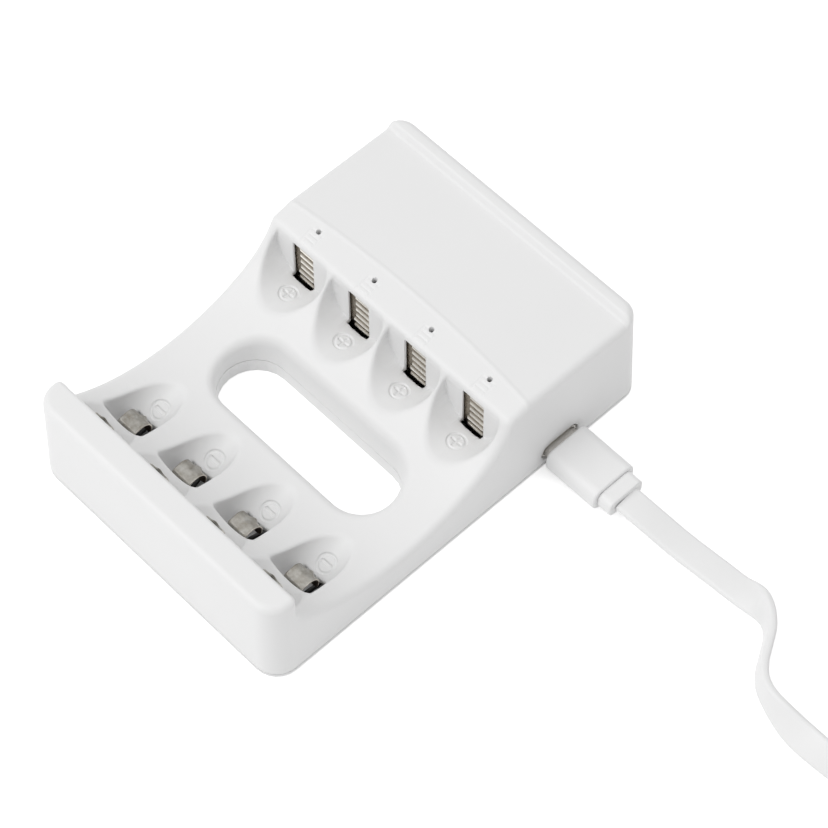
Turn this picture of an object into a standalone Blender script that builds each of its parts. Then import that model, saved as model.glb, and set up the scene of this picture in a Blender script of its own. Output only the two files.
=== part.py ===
"""Four-bay AA/AAA battery charger with a USB lead, modelled in metres with +Z up.

+X runs along the row of bays, +Y from the low front lip to the tall rear housing.
The origin is under the middle of the charger, on the surface that it stands on.
"""

from math import acos, cos, pi, radians, sin, sqrt

import bmesh
import bpy
from mathutils import Matrix, Vector

# Bays, side by side along X
BAY_COUNT = 4
BAY_PITCH = 0.0160
SIDE_MARGIN = 0.00185

# Depths along Y, from the front edge to the rear edge
LIP_DEPTH = 0.0062
BAY_LENGTH = 0.0546
HOUSING_DEPTH = 0.0360

# Overall body
BODY_WIDTH = BAY_COUNT * BAY_PITCH + 2 * SIDE_MARGIN
BODY_LENGTH = LIP_DEPTH + BAY_LENGTH + HOUSING_DEPTH
LIP_INNER_Y = LIP_DEPTH - BODY_LENGTH / 2
SCOOP_WALL_Y = LIP_INNER_Y + BAY_LENGTH
REFERENCE_HEIGHT = 0.0240
DRAFT_AT_BASE = 0.0006
FRONT_CORNER_RADIUS = 0.0052
REAR_CORNER_RADIUS = 0.0040
EDGE_RADIUS = 0.0017
SHELL_WALL = 0.0018
GAP = 0.0003
COVER_FLANGE = 0.0010
PARTING_HEIGHT = COVER_FLANGE + GAP

# Rear housing: lamp strip, main plate and ridge
STRIP_SETBACK = 0.00035
STRIP_FRONT_Y = SCOOP_WALL_Y + STRIP_SETBACK
STRIP_DEPTH = 0.00505
CREASE_Y = STRIP_FRONT_Y + STRIP_DEPTH
CREASE_BOW = 0.0022
CREASE_HEIGHT = 0.0252
STRIP_RISE = 0.0012
STRIP_FRONT_HEIGHT = CREASE_HEIGHT - STRIP_RISE
RIDGE_SETBACK = 0.0043
SEAM_Y = BODY_LENGTH / 2 - RIDGE_SETBACK
PLATE_FALL = 0.0002
SEAM_HEIGHT = CREASE_HEIGHT - PLATE_FALL
RIDGE_RISE = 0.0015
RIDGE_RUN = 0.0016

# Sweep between lip and housing: a front arc from the ledge, a wide arc and a tighter rise
LIP_HEIGHT = 0.0236
LEDGE_HEIGHT = 0.0178
VALLEY_HEIGHT = 0.0085
SWEEP_RADIUS = 0.0410
SWEEP_ANGLE = radians(29.0)
RISE_RADIUS = 0.0200
RISE_CENTRE_HEIGHT = VALLEY_HEIGHT + SWEEP_RADIUS - (SWEEP_RADIUS - RISE_RADIUS) * cos(SWEEP_ANGLE)
RISE_REACH = sqrt(RISE_RADIUS**2 - (RISE_CENTRE_HEIGHT - STRIP_FRONT_HEIGHT) ** 2)
VALLEY_Y = STRIP_FRONT_Y - RISE_REACH - (SWEEP_RADIUS - RISE_RADIUS) * sin(SWEEP_ANGLE)
RISE_CENTRE_Y = STRIP_FRONT_Y - RISE_REACH
LEDGE_RUN = VALLEY_Y - LIP_INNER_Y
LEDGE_RISE = LEDGE_HEIGHT - VALLEY_HEIGHT
FRONT_SWEEP_RADIUS = (LEDGE_RUN**2 + LEDGE_RISE**2) / (2 * LEDGE_RISE)

# Round scoop at a cell's positive end, and the cradle and pocket at its negative end
SCOOP_MARGIN = 0.0004
SCOOP_RADIUS = BAY_PITCH / 2 - SCOOP_MARGIN
SCOOP_FLOOR_HEIGHT = 0.0121
SCOOP_FLOOR_DROP = 0.0008
SCOOP_LENGTH = 0.0125
SCOOP_SKIN = 0.0010
CRADLE_MARGIN = 0.0001
CRADLE_RADIUS = BAY_PITCH / 2 - CRADLE_MARGIN
CRADLE_FLOOR_HEIGHT = 0.0116
PLATE_SEAT = 0.00025

# Oblong opening through the middle
OPENING_WIDTH = 0.0154
OPENING_MARGIN = 0.0010
OPENING_END_MARGIN = 0.01055
OPENING_Y = SCOOP_WALL_Y - SCOOP_LENGTH - OPENING_MARGIN - OPENING_WIDTH / 2
OPENING_LENGTH = BODY_WIDTH - 2 * OPENING_END_MARGIN
OPENING_WALL = 0.0016
OPENING_JOINT_HEIGHT = 0.0036

# Leaf-shaped pocket, from the opening's edge towards the lip
POCKET_SETBACK = 0.0066
POCKET_END_Y = LIP_INNER_Y + POCKET_SETBACK
POCKET_TIP_MARGIN = 0.0038
POCKET_TIP_Y = OPENING_Y - OPENING_WIDTH / 2 - POCKET_TIP_MARGIN
POCKET_TIP_RADIUS = 0.0040
POCKET_END_RADIUS = 0.0056
POCKET_DEPTH_AT_END = 0.0083
POCKET_SKIN = 0.0012

# Contact window and the ridged positive contact behind it
WINDOW_WIDTH = 0.0057
WINDOW_BOTTOM = 0.0111
WINDOW_DROP = 0.0016
WINDOW_TOP = STRIP_FRONT_HEIGHT - WINDOW_DROP
WINDOW_CORNER = 0.0008
SHEET = 0.0003
POSITIVE_WIDTH = 0.0072
POSITIVE_TOP = WINDOW_TOP
PLATE_OVERLAP = 0.0011
POSITIVE_BOTTOM = WINDOW_BOTTOM - PLATE_OVERLAP
RIDGE_COUNT = 6
RIDGE_DEPTH = 0.0004
TAIL_WIDTH = 0.0020
TAIL_FOOT = 0.0024
TAIL_BEND = 0.0006

# Folded negative contact: a rear leg for AA cells and a hood for AAA cells
CONTACT_SHEET = 0.00035
LEG_SETBACK = 0.0028
REAR_LEG_Y = LIP_INNER_Y + LEG_SETBACK
REAR_LEG_TOP = 0.0160
REAR_LEG_WIDTH = 0.0054
LEG_NIB_DROP = 0.0012
BEND_WIDTH = 0.0018
BEND_Y = REAR_LEG_Y + BEND_WIDTH
BEND_HEIGHT = 0.0040
HOOD_WIDTH = 0.0043
HOOD_FACE_WIDTH = 0.0049
HOOD_CLEARANCE = 0.0009
HOOD_RISE_Y = POCKET_END_Y + HOOD_CLEARANCE
HOOD_RISE_FOOT = 0.0062
HOOD_TOP = 0.0091
HOOD_LENGTH = 0.0043
HOOD_FACE_Y = HOOD_RISE_Y + HOOD_LENGTH
HOOD_FACE_BOTTOM = 0.0055
HOOD_REAR_RADIUS = 0.0008
HOOD_FRONT_RADIUS = 0.0012
NIB_DEPTH = 0.0007
NIB_SHARE = 0.3
SLOT_SIDE_CLEARANCE = 0.0005
ROCK_CLEARANCE = 0.00175

# Indicator lamps
LAMP_SETBACK = 0.0041
LAMP_Y = STRIP_FRONT_Y + LAMP_SETBACK
LAMP_HOLE_DIAMETER = 0.0011
LAMP_DIAMETER = 0.0029
LAMP_RIM = 0.0002
LAMP_RIM_HEIGHT = 0.0007
LAMP_LENGTH = 0.0045
LAMP_LEG = 0.0005
LAMP_LEG_SPACING = 0.0012

# USB socket in the +X side, below the board's edge
SOCKET_HEIGHT = 0.00395
SOCKET_SETBACK = 0.0140
SOCKET_Y = SCOOP_WALL_Y + SOCKET_SETBACK
SOCKET_LENGTH = 0.0073
SOCKET_SHEET = 0.0003
PLUG_SHELL_WIDTH = 0.0083
PLUG_SHELL_THICKNESS = 0.0025
PLUG_SHELL_LENGTH = 0.0067
PLUG_SHELL_SEAT = 0.0012
PLUG_SHELL_SHEET = 0.0003
PLUG_CLEARANCE = 0.0002
SOCKET_GROWTH = PLUG_CLEARANCE + SOCKET_SHEET
TONGUE_WIDTH = 0.0066
TONGUE_THICKNESS = 0.0007
TONGUE_LENGTH = 0.0047
TONGUE_BLOCK = 0.0008

# Circuit board and what it carries, each placed from the board's middle
BOARD_BOTTOM = SOCKET_HEIGHT + PLUG_SHELL_THICKNESS / 2 + SOCKET_GROWTH + GAP
BOARD_THICKNESS = 0.0014
BOARD_SETBACK = 0.0028
BOARD_REAR_MARGIN = 0.0038
BOARD_SIDE_MARGIN = 0.00285
BOARD_FRONT_Y = SCOOP_WALL_Y + BOARD_SETBACK
BOARD_REAR_Y = BODY_LENGTH / 2 - BOARD_REAR_MARGIN
BOARD_MIDDLE_Y = (BOARD_FRONT_Y + BOARD_REAR_Y) / 2
BOARD_WIDTH = BODY_WIDTH - 2 * BOARD_SIDE_MARGIN
BOARD_CORNER = 0.0010
CHIP_SIZE = (0.0050, 0.0039, 0.0016)
CHIP_BEVEL = 0.0002
CHIP_OFFSET = (-0.0080, 0.0031)
CAPACITOR_DIAMETER = 0.0063
CAPACITOR_HEIGHT = 0.0077
CAPACITOR_GROOVE_HEIGHT = 0.0012
CAPACITOR_EDGE = 0.0003
CAPACITOR_OFFSET = (-0.0190, 0.0061)
INDUCTOR_SIZE = (0.0070, 0.0070, 0.0040)
INDUCTOR_CORNER = 0.0014
INDUCTOR_OFFSET = (0.0050, 0.0051)

# Screws
FRONT_SCREW_INSET = 0.00435
FRONT_SCREW_X = BODY_WIDTH / 2 - FRONT_SCREW_INSET
FRONT_SCREW_Y = OPENING_Y
REAR_SCREW_SIDE_INSET = 0.00635
REAR_SCREW_END_INSET = 0.0061
REAR_SCREW_X = BODY_WIDTH / 2 - REAR_SCREW_SIDE_INSET
REAR_SCREW_Y = BODY_LENGTH / 2 - REAR_SCREW_END_INSET
SCREW_SHANK = 0.0016
SCREW_LENGTH = 0.0060
SCREW_HEAD = 0.0038
SCREW_HEAD_HEIGHT = 0.0012
SCREW_SLOT_LENGTH = 0.0025
SCREW_SLOT_WIDTH = 0.0005
SCREW_RECESS_DEPTH = 0.0018
BOSS_DIAMETER = 0.0054

# Bottom cover
COVER_FLOOR = 0.0016
COVER_RIM_HEIGHT = 0.0030
COVER_RIM_THICKNESS = 0.0012
COVER_EDGE = 0.0004
POST_DIAMETER = 0.0040
SEAT_WIDTH = 0.0052
WIRE_RADIUS = 0.0005

# USB lead
LEAD_THICKNESS = 0.0034
PLUG_BODY_LENGTH = 0.0139
PLUG_BODY_WIDTH = 0.0112
PLUG_BODY_THICKNESS = 0.0058
PLUG_BODY_ROUND = 0.0020
PLUG_BODY_EDGE = 0.0008
PLUG_STANDOFF = 0.0013
COLLAR_LENGTH = 0.0036
COLLAR_WIDTH = 0.0090
COLLAR_THICKNESS = 0.0042
COLLAR_ROUND = 0.0012
COLLAR_EDGE = 0.0004
COIL_CENTRE = (0.1410, 0.0486)
COIL_RADIUS = 0.0330
COIL_BAND = 0.0080
COIL_HEIGHT = 0.0062
COIL_EDGE = 0.0008
TIE_SHEET = 0.0006
TIE_WIDTH = 0.0050
TIE_ROUND = 0.0010
TIE_ANGLE = radians(-20.0)
TAIL_LENGTH = 0.0060
FAR_COLLAR_LENGTH = 0.0080
FAR_COLLAR_WIDTHS = (0.0086, 0.0064)
FAR_COLLAR_THICKNESSES = (0.0046, 0.0036)
FAR_COLLAR_ROUND = 0.0014
FAR_BODY_LENGTH = 0.0190
FAR_BODY_WIDTH = 0.0158
FAR_BODY_THICKNESS = 0.0080
FAR_BODY_ROUND = 0.0024
FAR_BODY_EDGE = 0.0010
FAR_SHELL_WIDTH = 0.0120
FAR_SHELL_THICKNESS = 0.0045
FAR_SHELL_LENGTH = 0.0120
FAR_SHELL_SEAT = 0.0015
FAR_SHELL_CORNER = 0.0005
FAR_WINDOW = 0.0022
FAR_WINDOW_CORNER = 0.0002
FAR_WINDOW_SETBACK = 0.0060
FAR_WINDOW_SPACING = 0.0056
LEAD_ROUTE = (
    (0.0570, 0.0266, 0.0036),
    (0.0620, 0.0270, 0.0026),
    (0.0690, 0.0279, 0.0020),
    (0.0770, 0.0288, 0.0020),
    (0.0835, 0.0288, 0.0021),
    (0.0882, 0.0278, 0.0026),
    (0.0912, 0.0256, 0.0031),
    (0.0934, 0.0222, 0.0032),
    (0.0956, 0.0186, 0.0031),
    (0.0984, 0.0160, 0.0027),
    (0.1024, 0.0149, 0.0021),
    (0.1080, 0.0152, 0.0020),
    (0.1150, 0.0156, 0.0021),
)

# Width of the slope that stands in for an upright step in the height of the surface
STEP = 2e-5

BAYS = [(index - (BAY_COUNT - 1) / 2) * BAY_PITCH for index in range(BAY_COUNT)]


def clear_scene():
    for old in list(bpy.data.objects):
        bpy.data.objects.remove(old, do_unlink=True)


def finish(name, colour, roughness, metallic=0.0):
    """A Principled material of one colour."""
    made = bpy.data.materials.new(name)
    made.use_nodes = True
    shader = made.node_tree.nodes["Principled BSDF"]
    shader.inputs["Base Color"].default_value = (*colour, 1.0)
    shader.inputs["Roughness"].default_value = roughness
    shader.inputs["Metallic"].default_value = metallic
    made.diffuse_color = (*colour, 1.0)
    return made


def place(name, form, material, origin=(0.0, 0.0, 0.0), smooth=False):
    """Turns a bmesh in world coordinates into an object with its origin at the given point."""
    bmesh.ops.remove_doubles(form, verts=form.verts, dist=1e-7)
    bmesh.ops.recalc_face_normals(form, faces=form.faces)
    form.transform(Matrix.Translation(-Vector(origin)))
    mesh = bpy.data.meshes.new(name)
    form.to_mesh(mesh)
    form.free()
    if smooth:
        mesh.shade_smooth()
        mesh.set_sharp_from_angle(angle=radians(35.0))
    made = bpy.data.objects.new(name, mesh)
    made.location = origin
    if material is not None:
        mesh.materials.append(material)
    bpy.context.scene.collection.objects.link(made)
    return made


def guide(name, form):
    """An object that only cuts or joins others."""
    made = place(name, form, None)
    made.hide_render = True
    made.display_type = "WIRE"
    return made


def combine(target, tool, operation="DIFFERENCE"):
    change = target.modifiers.new(tool.name, "BOOLEAN")
    change.object = tool
    change.operation = operation
    change.solver = "EXACT"


def loft(rings, capped=True):
    """Joins rings of equally many points in order, and closes both ends."""
    form = bmesh.new()
    loops = [[form.verts.new(point) for point in ring] for ring in rings]
    count = len(loops[0])
    for near, far in zip(loops, loops[1:]):
        for index in range(count):
            after = (index + 1) % count
            form.faces.new((near[index], near[after], far[after], far[index]))
    if capped:
        form.faces.new(list(reversed(loops[0])))
        form.faces.new(loops[-1])
    return form


def circle(centre_x, centre_y, radius, count=24):
    turns = [2 * pi * index / count for index in range(count)]
    return [(centre_x + radius * cos(turn), centre_y + radius * sin(turn)) for turn in turns]


def rounded_rectangle(width, height, radius, count=4):
    """Corner by corner, anticlockwise from the lower right."""
    points = []
    for turn, side_x, side_y in ((-0.5, 1, -1), (0.0, 1, 1), (0.5, -1, 1), (1.0, -1, -1)):
        centre_x = side_x * (width / 2 - radius)
        centre_y = side_y * (height / 2 - radius)
        for index in range(count + 1):
            angle = (turn + 0.5 * index / count) * pi
            points.append((centre_x + radius * cos(angle), centre_y + radius * sin(angle)))
    return points


def stadium(length, width, count=10):
    points = []
    for side, start in ((1, -0.5), (-1, 0.5)):
        for index in range(count + 1):
            angle = (start + index / count) * pi
            points.append((side * (length - width) / 2 + width / 2 * cos(angle), width / 2 * sin(angle)))
    return points


def prism_z(outline, low, high, centre=(0.0, 0.0)):
    shift_x, shift_y = centre
    return loft([[(x + shift_x, y + shift_y, z) for x, y in outline] for z in (low, high)])


def prism_y(outline, low, high, centre=(0.0, 0.0)):
    shift_x, shift_z = centre
    return loft([[(x + shift_x, y, z + shift_z) for x, z in outline] for y in (low, high)])


def prism_x(outline, low, high, centre=(0.0, 0.0)):
    shift_y, shift_z = centre
    return loft([[(x, y + shift_y, z + shift_z) for y, z in outline] for x in (low, high)])


def box(low, high):
    corners = [(low[0], low[1]), (high[0], low[1]), (high[0], high[1]), (low[0], high[1])]
    return prism_z(corners, low[2], high[2])


def bent_sheet(path, sheet, width):
    """A strip of even thickness that follows a path in the YZ plane, centred on x = 0."""
    outer, inner = [], []
    for index, (y, z) in enumerate(path):
        before = path[max(index - 1, 0)]
        after = path[min(index + 1, len(path) - 1)]
        run_y, run_z = after[0] - before[0], after[1] - before[1]
        size = sqrt(run_y * run_y + run_z * run_z)
        step_y, step_z = -run_z / size * sheet / 2, run_y / size * sheet / 2
        outer.append((y + step_y, z + step_z))
        inner.append((y - step_y, z - step_z))
    outline = outer + inner[::-1]
    return loft([[(x, y, z) for y, z in outline] for x in (-width / 2, width / 2)])


def arc(centre_y, centre_z, radius, start, end, count):
    angles = [start + (end - start) * index / count for index in range(count + 1)]
    return [(centre_y + radius * cos(angle), centre_z + radius * sin(angle)) for angle in angles]


def drafted(x, y, z):
    """The body grows towards its base, so that it leaves the mould."""
    growth = 1 + DRAFT_AT_BASE / (BODY_WIDTH / 2) * (REFERENCE_HEIGHT - z) / REFERENCE_HEIGHT
    lengthening = 1 + DRAFT_AT_BASE / (BODY_LENGTH / 2) * (REFERENCE_HEIGHT - z) / REFERENCE_HEIGHT
    return (x * growth, y * lengthening, z)


def half_width(y, inset):
    """Half of the plan outline's width at y, with its rounded corners."""
    radius = (FRONT_CORNER_RADIUS if y < 0 else REAR_CORNER_RADIUS) - inset
    radius = max(radius, GAP)
    to_end = BODY_LENGTH / 2 - inset - abs(y)
    into_corner = max(radius - to_end, 0.0)
    return BODY_WIDTH / 2 - inset - radius + sqrt(max(radius * radius - into_corner * into_corner, 0.0))


def edge_distance(x, y, inset):
    """How far a point lies inside the plan outline."""
    radius = max((FRONT_CORNER_RADIUS if y < 0 else REAR_CORNER_RADIUS) - inset, GAP)
    past_x = abs(x) - (BODY_WIDTH / 2 - inset - radius)
    past_y = abs(y) - (BODY_LENGTH / 2 - inset - radius)
    outside = sqrt(max(past_x, 0.0) ** 2 + max(past_y, 0.0) ** 2)
    return radius - outside - min(max(past_x, past_y), 0.0)


def crease_y(x):
    return CREASE_Y + CREASE_BOW * (1 - (2 * x / BODY_WIDTH) ** 2)


def sweep_height(y, inset):
    """The hollow between lip and housing: the ledge's arc, a wide arc and a tighter rise."""
    if y < VALLEY_Y:
        radius, centre_z = FRONT_SWEEP_RADIUS, VALLEY_HEIGHT + FRONT_SWEEP_RADIUS
        across = y - VALLEY_Y
    elif y <= VALLEY_Y + (SWEEP_RADIUS + inset) * sin(SWEEP_ANGLE):
        radius, centre_z = SWEEP_RADIUS, VALLEY_HEIGHT + SWEEP_RADIUS
        across = y - VALLEY_Y
    else:
        radius, centre_z = RISE_RADIUS, RISE_CENTRE_HEIGHT
        across = min(y - RISE_CENTRE_Y, RISE_RADIUS + inset)
    return centre_z - sqrt(max((radius + inset) ** 2 - across * across, 0.0))


def housing_height(x, y, inset):
    """Lamp strip, main plate and rear ridge of the housing's top."""
    crease = crease_y(x)
    if y < crease:
        share = (y - STRIP_FRONT_Y) / (crease - STRIP_FRONT_Y)
        return STRIP_FRONT_HEIGHT + share * (CREASE_HEIGHT - STRIP_FRONT_HEIGHT) - inset
    share = (y - crease) / (SEAM_Y - crease)
    if y <= SEAM_Y or inset > 0:
        return CREASE_HEIGHT + min(share, 1.0) * (SEAM_HEIGHT - CREASE_HEIGHT) - inset
    rise = min((y - SEAM_Y) / RIDGE_RUN, 1.0)
    return SEAM_HEIGHT + RIDGE_RISE * (1 - (1 - rise) ** 2)


def surface_height(x, y, inset):
    """Height of the body's top surface, or of the hollow under it for an inset."""
    if y < LIP_INNER_Y - inset:
        height = LIP_HEIGHT - inset
    elif y < VALLEY_Y:
        height = min(sweep_height(y, inset), LIP_HEIGHT - inset)
    else:
        height = min(sweep_height(y, inset), housing_height(x, y, inset))
    radius = max(EDGE_RADIUS - inset, GAP)
    reach = min(edge_distance(x, y, inset), radius)
    return height - radius + sqrt(max(radius * radius - (radius - reach) ** 2, 0.0))


def edge_steps(inset):
    """Distances from the outline at which the rounded edge has its points."""
    radius = max(EDGE_RADIUS - inset, GAP)
    shares = (0.0, 0.05, 0.2, 0.5, 1.0) if inset == 0 else (0.0, 1.0)
    return [radius * share for share in shares]


def rows(inset):
    """Stations along Y: close together where the surface turns."""
    end = BODY_LENGTH / 2 - inset
    turning = edge_steps(inset)
    corners = [FRONT_CORNER_RADIUS * share for share in (0.5, 0.75, 1.0)]
    lip = LIP_INNER_Y - inset
    join_y = VALLEY_Y + (SWEEP_RADIUS + inset) * sin(SWEEP_ANGLE)
    top_angle = acos((RISE_CENTRE_HEIGHT - STRIP_FRONT_HEIGHT + inset) / (RISE_RADIUS + inset))
    sweep_steps, rise_steps = (16, 7) if inset == 0 else (12, 6)
    climb = [SWEEP_ANGLE + (top_angle - SWEEP_ANGLE) * step / rise_steps for step in range(1, rise_steps + 1)]
    stations = [-end + step for step in turning] + [-end + step for step in corners]
    stations += [lip - GAP, lip, lip + STEP]
    stations += [lip + (join_y - lip) * step / sweep_steps for step in range(1, sweep_steps + 1)]
    stations += [RISE_CENTRE_Y + (RISE_RADIUS + inset) * sin(angle) for angle in climb]
    stations += [CREASE_Y, (CREASE_Y + SEAM_Y) / 2, SEAM_Y]
    if inset == 0:
        stations += [SEAM_Y + RIDGE_RUN * share for share in (0.25, 0.5, 0.75, 1.0)]
    stations += [end - step for step in turning + [REAR_CORNER_RADIUS / 2]]
    kept = []
    for station in sorted(stations):
        if not kept or station - kept[-1] > 0.75 * STEP:
            kept.append(station)
    return kept


def bowed(x, y):
    """Rows between the strip's front edge and the seam bend with the crease."""
    if not STRIP_FRONT_Y < y < SEAM_Y:
        return y
    bow = crease_y(x) - CREASE_Y
    if y <= CREASE_Y:
        return y + bow * (y - STRIP_FRONT_Y) / (CREASE_Y - STRIP_FRONT_Y)
    return y + bow * (SEAM_Y - y) / (SEAM_Y - CREASE_Y)


def body_form(inset, base):
    """A solid with the body's outline and top surface, or the hollow inside it."""
    turning = edge_steps(inset)
    middle = [(index + 0.5) / 4.8 for index in range(-4, 4)]
    form = bmesh.new()
    grid = []
    for station in rows(inset):
        reach = half_width(station, inset)
        across = [-reach + step for step in turning]
        across += [share * (reach - turning[-1]) for share in middle]
        across += [reach - step for step in reversed(turning)]
        line = []
        for x in across:
            y = bowed(x, station)
            line.append(form.verts.new(drafted(x, y, surface_height(x, y, inset))))
        grid.append(line)
    for near, far in zip(grid, grid[1:]):
        for index in range(len(near) - 1):
            form.faces.new((near[index], near[index + 1], far[index + 1], far[index]))
    rim = grid[0] + [line[-1] for line in grid[1:]]
    rim += grid[-1][-2::-1] + [line[0] for line in grid[-2:0:-1]]
    foot = []
    for vert in rim:
        growth = (REFERENCE_HEIGHT - base) / REFERENCE_HEIGHT
        shrink = (REFERENCE_HEIGHT - vert.co.z) / REFERENCE_HEIGHT
        wide = (1 + 2 * DRAFT_AT_BASE / BODY_WIDTH * growth) / (1 + 2 * DRAFT_AT_BASE / BODY_WIDTH * shrink)
        deep = (1 + 2 * DRAFT_AT_BASE / BODY_LENGTH * growth) / (1 + 2 * DRAFT_AT_BASE / BODY_LENGTH * shrink)
        foot.append(form.verts.new((vert.co.x * wide, vert.co.y * deep, base)))
    for index in range(len(rim)):
        after = (index + 1) % len(rim)
        form.faces.new((rim[index], rim[after], foot[after], foot[index]))
    form.faces.new(foot)
    return form


def scoop_form(x, skin):
    """The round scoop that takes a cell's positive end, grown by a skin."""
    end = SCOOP_WALL_Y + skin
    rings = []
    for share in (0.0, 1.0):
        y = SCOOP_WALL_Y - SCOOP_LENGTH + share * (SCOOP_LENGTH + skin)
        axis = SCOOP_FLOOR_HEIGHT + SCOOP_FLOOR_DROP * (0.5 - share) + SCOOP_RADIUS
        rings.append([(px, min(y, end), pz) for px, pz in circle(x, axis, SCOOP_RADIUS + skin, 26)])
    return loft(rings)


def cradle_form(x, skin):
    """The round cradle behind the lip, where the sweep is higher than an AA cell lies."""
    outline = circle(0.0, 0.0, CRADLE_RADIUS + skin, 26)
    return prism_y(outline, LIP_INNER_Y - skin, VALLEY_Y, (x, CRADLE_FLOOR_HEIGHT + CRADLE_RADIUS))


def pocket_form(x, skin):
    """The leaf-shaped pocket for a cell's negative end: round sections that deepen towards the lip."""
    rings = []
    steps = 8
    for index in range(steps + 1):
        share = index / steps
        y = POCKET_TIP_Y + share * (POCKET_END_Y - POCKET_TIP_Y)
        radius = POCKET_TIP_RADIUS + share * (POCKET_END_RADIUS - POCKET_TIP_RADIUS)
        floor = sweep_height(y, 0.0) - POCKET_DEPTH_AT_END * (1 - (1 - share) ** 1.25)
        if index == steps:
            y -= skin
        if index == 0:
            y += skin
        rings.append([(px, y, pz) for px, pz in circle(x, floor + radius, radius + skin, 24)])
    return loft(rings)


def opening_form(grow, low, high):
    outline = stadium(OPENING_LENGTH + 2 * grow, OPENING_WIDTH + 2 * grow, 12)
    return prism_z(outline, low, high, (0.0, OPENING_Y))


def screw_places():
    for side in (-1, 1):
        yield side * FRONT_SCREW_X, FRONT_SCREW_Y
        yield side * REAR_SCREW_X, REAR_SCREW_Y


def slot_forms(x):
    """Slots that let the negative contact's two legs through the shell."""
    rear_half = REAR_LEG_WIDTH / 2 + SLOT_SIDE_CLEARANCE
    hood_half = HOOD_FACE_WIDTH / 2 + SLOT_SIDE_CLEARANCE
    rear = box(
        (x - rear_half, REAR_LEG_Y - ROCK_CLEARANCE, PARTING_HEIGHT + SHELL_WALL),
        (x + rear_half, REAR_LEG_Y + NIB_DEPTH + 2 * GAP, CRADLE_FLOOR_HEIGHT + SHELL_WALL),
    )
    hood = box(
        (x - hood_half, BEND_Y + GAP, PARTING_HEIGHT + SHELL_WALL / 2),
        (x + hood_half, HOOD_FACE_Y + NIB_DEPTH + 2 * GAP, HOOD_FACE_BOTTOM + NIB_DEPTH),
    )
    return rear, hood


def socket_outline(grow):
    width = PLUG_SHELL_WIDTH + 2 * grow
    thickness = PLUG_SHELL_THICKNESS + 2 * grow
    return stadium(width, thickness, 6)


def side_x(height):
    """Where the +X side's outer face stands at this height."""
    return drafted(BODY_WIDTH / 2, 0.0, height)[0]


def top_housing(white):
    """The upper moulding: one shell with its scoops, pockets, windows and screw bosses."""
    shell = place("top_housing", body_form(0.0, PARTING_HEIGHT), white, smooth=True)
    hollow = guide("hollow", body_form(SHELL_WALL, -SHELL_WALL))
    tube = guide("opening_wall", opening_form(OPENING_WALL, OPENING_JOINT_HEIGHT + GAP, REFERENCE_HEIGHT))
    combine(hollow, tube)
    for index, x in enumerate(BAYS, start=1):
        combine(hollow, guide(f"scoop_wall_{index}", scoop_form(x, SCOOP_SKIN)))
        combine(hollow, guide(f"pocket_wall_{index}", pocket_form(x, POCKET_SKIN)))
        combine(hollow, guide(f"cradle_wall_{index}", cradle_form(x, SCOOP_SKIN)))
    for index, x in enumerate(BAYS, start=1):
        half = POSITIVE_WIDTH / 2 + GAP
        front = SCOOP_WALL_Y + SCOOP_SKIN - PLATE_SEAT
        rear = front + RIDGE_DEPTH + 4 * SHEET
        seat = box((x - half, front, WINDOW_BOTTOM + GAP), (x + half, rear, POSITIVE_TOP + 2 * GAP))
        combine(hollow, guide(f"plate_seat_{index}", seat), "UNION")
    for index, (x, y) in enumerate(screw_places(), start=1):
        low = COVER_RIM_HEIGHT + GAP
        boss = guide(f"boss_{index}", prism_z(circle(x, y, BOSS_DIAMETER / 2, 16), low, CREASE_HEIGHT))
        combine(hollow, boss)
    combine(shell, hollow)
    combine(shell, guide("opening", opening_form(0.0, -SHELL_WALL, REFERENCE_HEIGHT)))
    for index, x in enumerate(BAYS, start=1):
        combine(shell, guide(f"scoop_{index}", scoop_form(x, 0.0)))
        combine(shell, guide(f"cradle_{index}", cradle_form(x, 0.0)))
        combine(shell, guide(f"pocket_{index}", pocket_form(x, 0.0)))
        outline = rounded_rectangle(WINDOW_WIDTH, WINDOW_TOP - WINDOW_BOTTOM, WINDOW_CORNER, 3)
        middle = (x, (WINDOW_TOP + WINDOW_BOTTOM) / 2)
        window = prism_y(outline, SCOOP_WALL_Y - GAP, SCOOP_WALL_Y + 2 * SCOOP_SKIN, middle)
        combine(shell, guide(f"window_{index}", window))
        low, high = STRIP_FRONT_HEIGHT - SHELL_WALL, CREASE_HEIGHT + SHELL_WALL
        hole = prism_z(circle(x, LAMP_Y, LAMP_HOLE_DIAMETER / 2, 12), low, high)
        combine(shell, guide(f"lamp_hole_{index}", hole))
        rear, hood = slot_forms(x)
        combine(shell, guide(f"rear_slot_{index}", rear))
        combine(shell, guide(f"hood_slot_{index}", hood))
    for index, (x, y) in enumerate(screw_places(), start=1):
        low = COVER_RIM_HEIGHT
        high = SCREW_LENGTH + SCREW_SHANK / 2 + GAP
        pilot = prism_z(circle(x, y, SCREW_SHANK / 2 + GAP, 12), low, high)
        combine(shell, guide(f"pilot_{index}", pilot))
    port = prism_x(
        socket_outline(SOCKET_GROWTH + GAP),
        side_x(SOCKET_HEIGHT) - 2 * SHELL_WALL,
        side_x(0.0) + SHELL_WALL,
        (SOCKET_Y, SOCKET_HEIGHT),
    )
    combine(shell, guide("port", port))
    return shell


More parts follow.
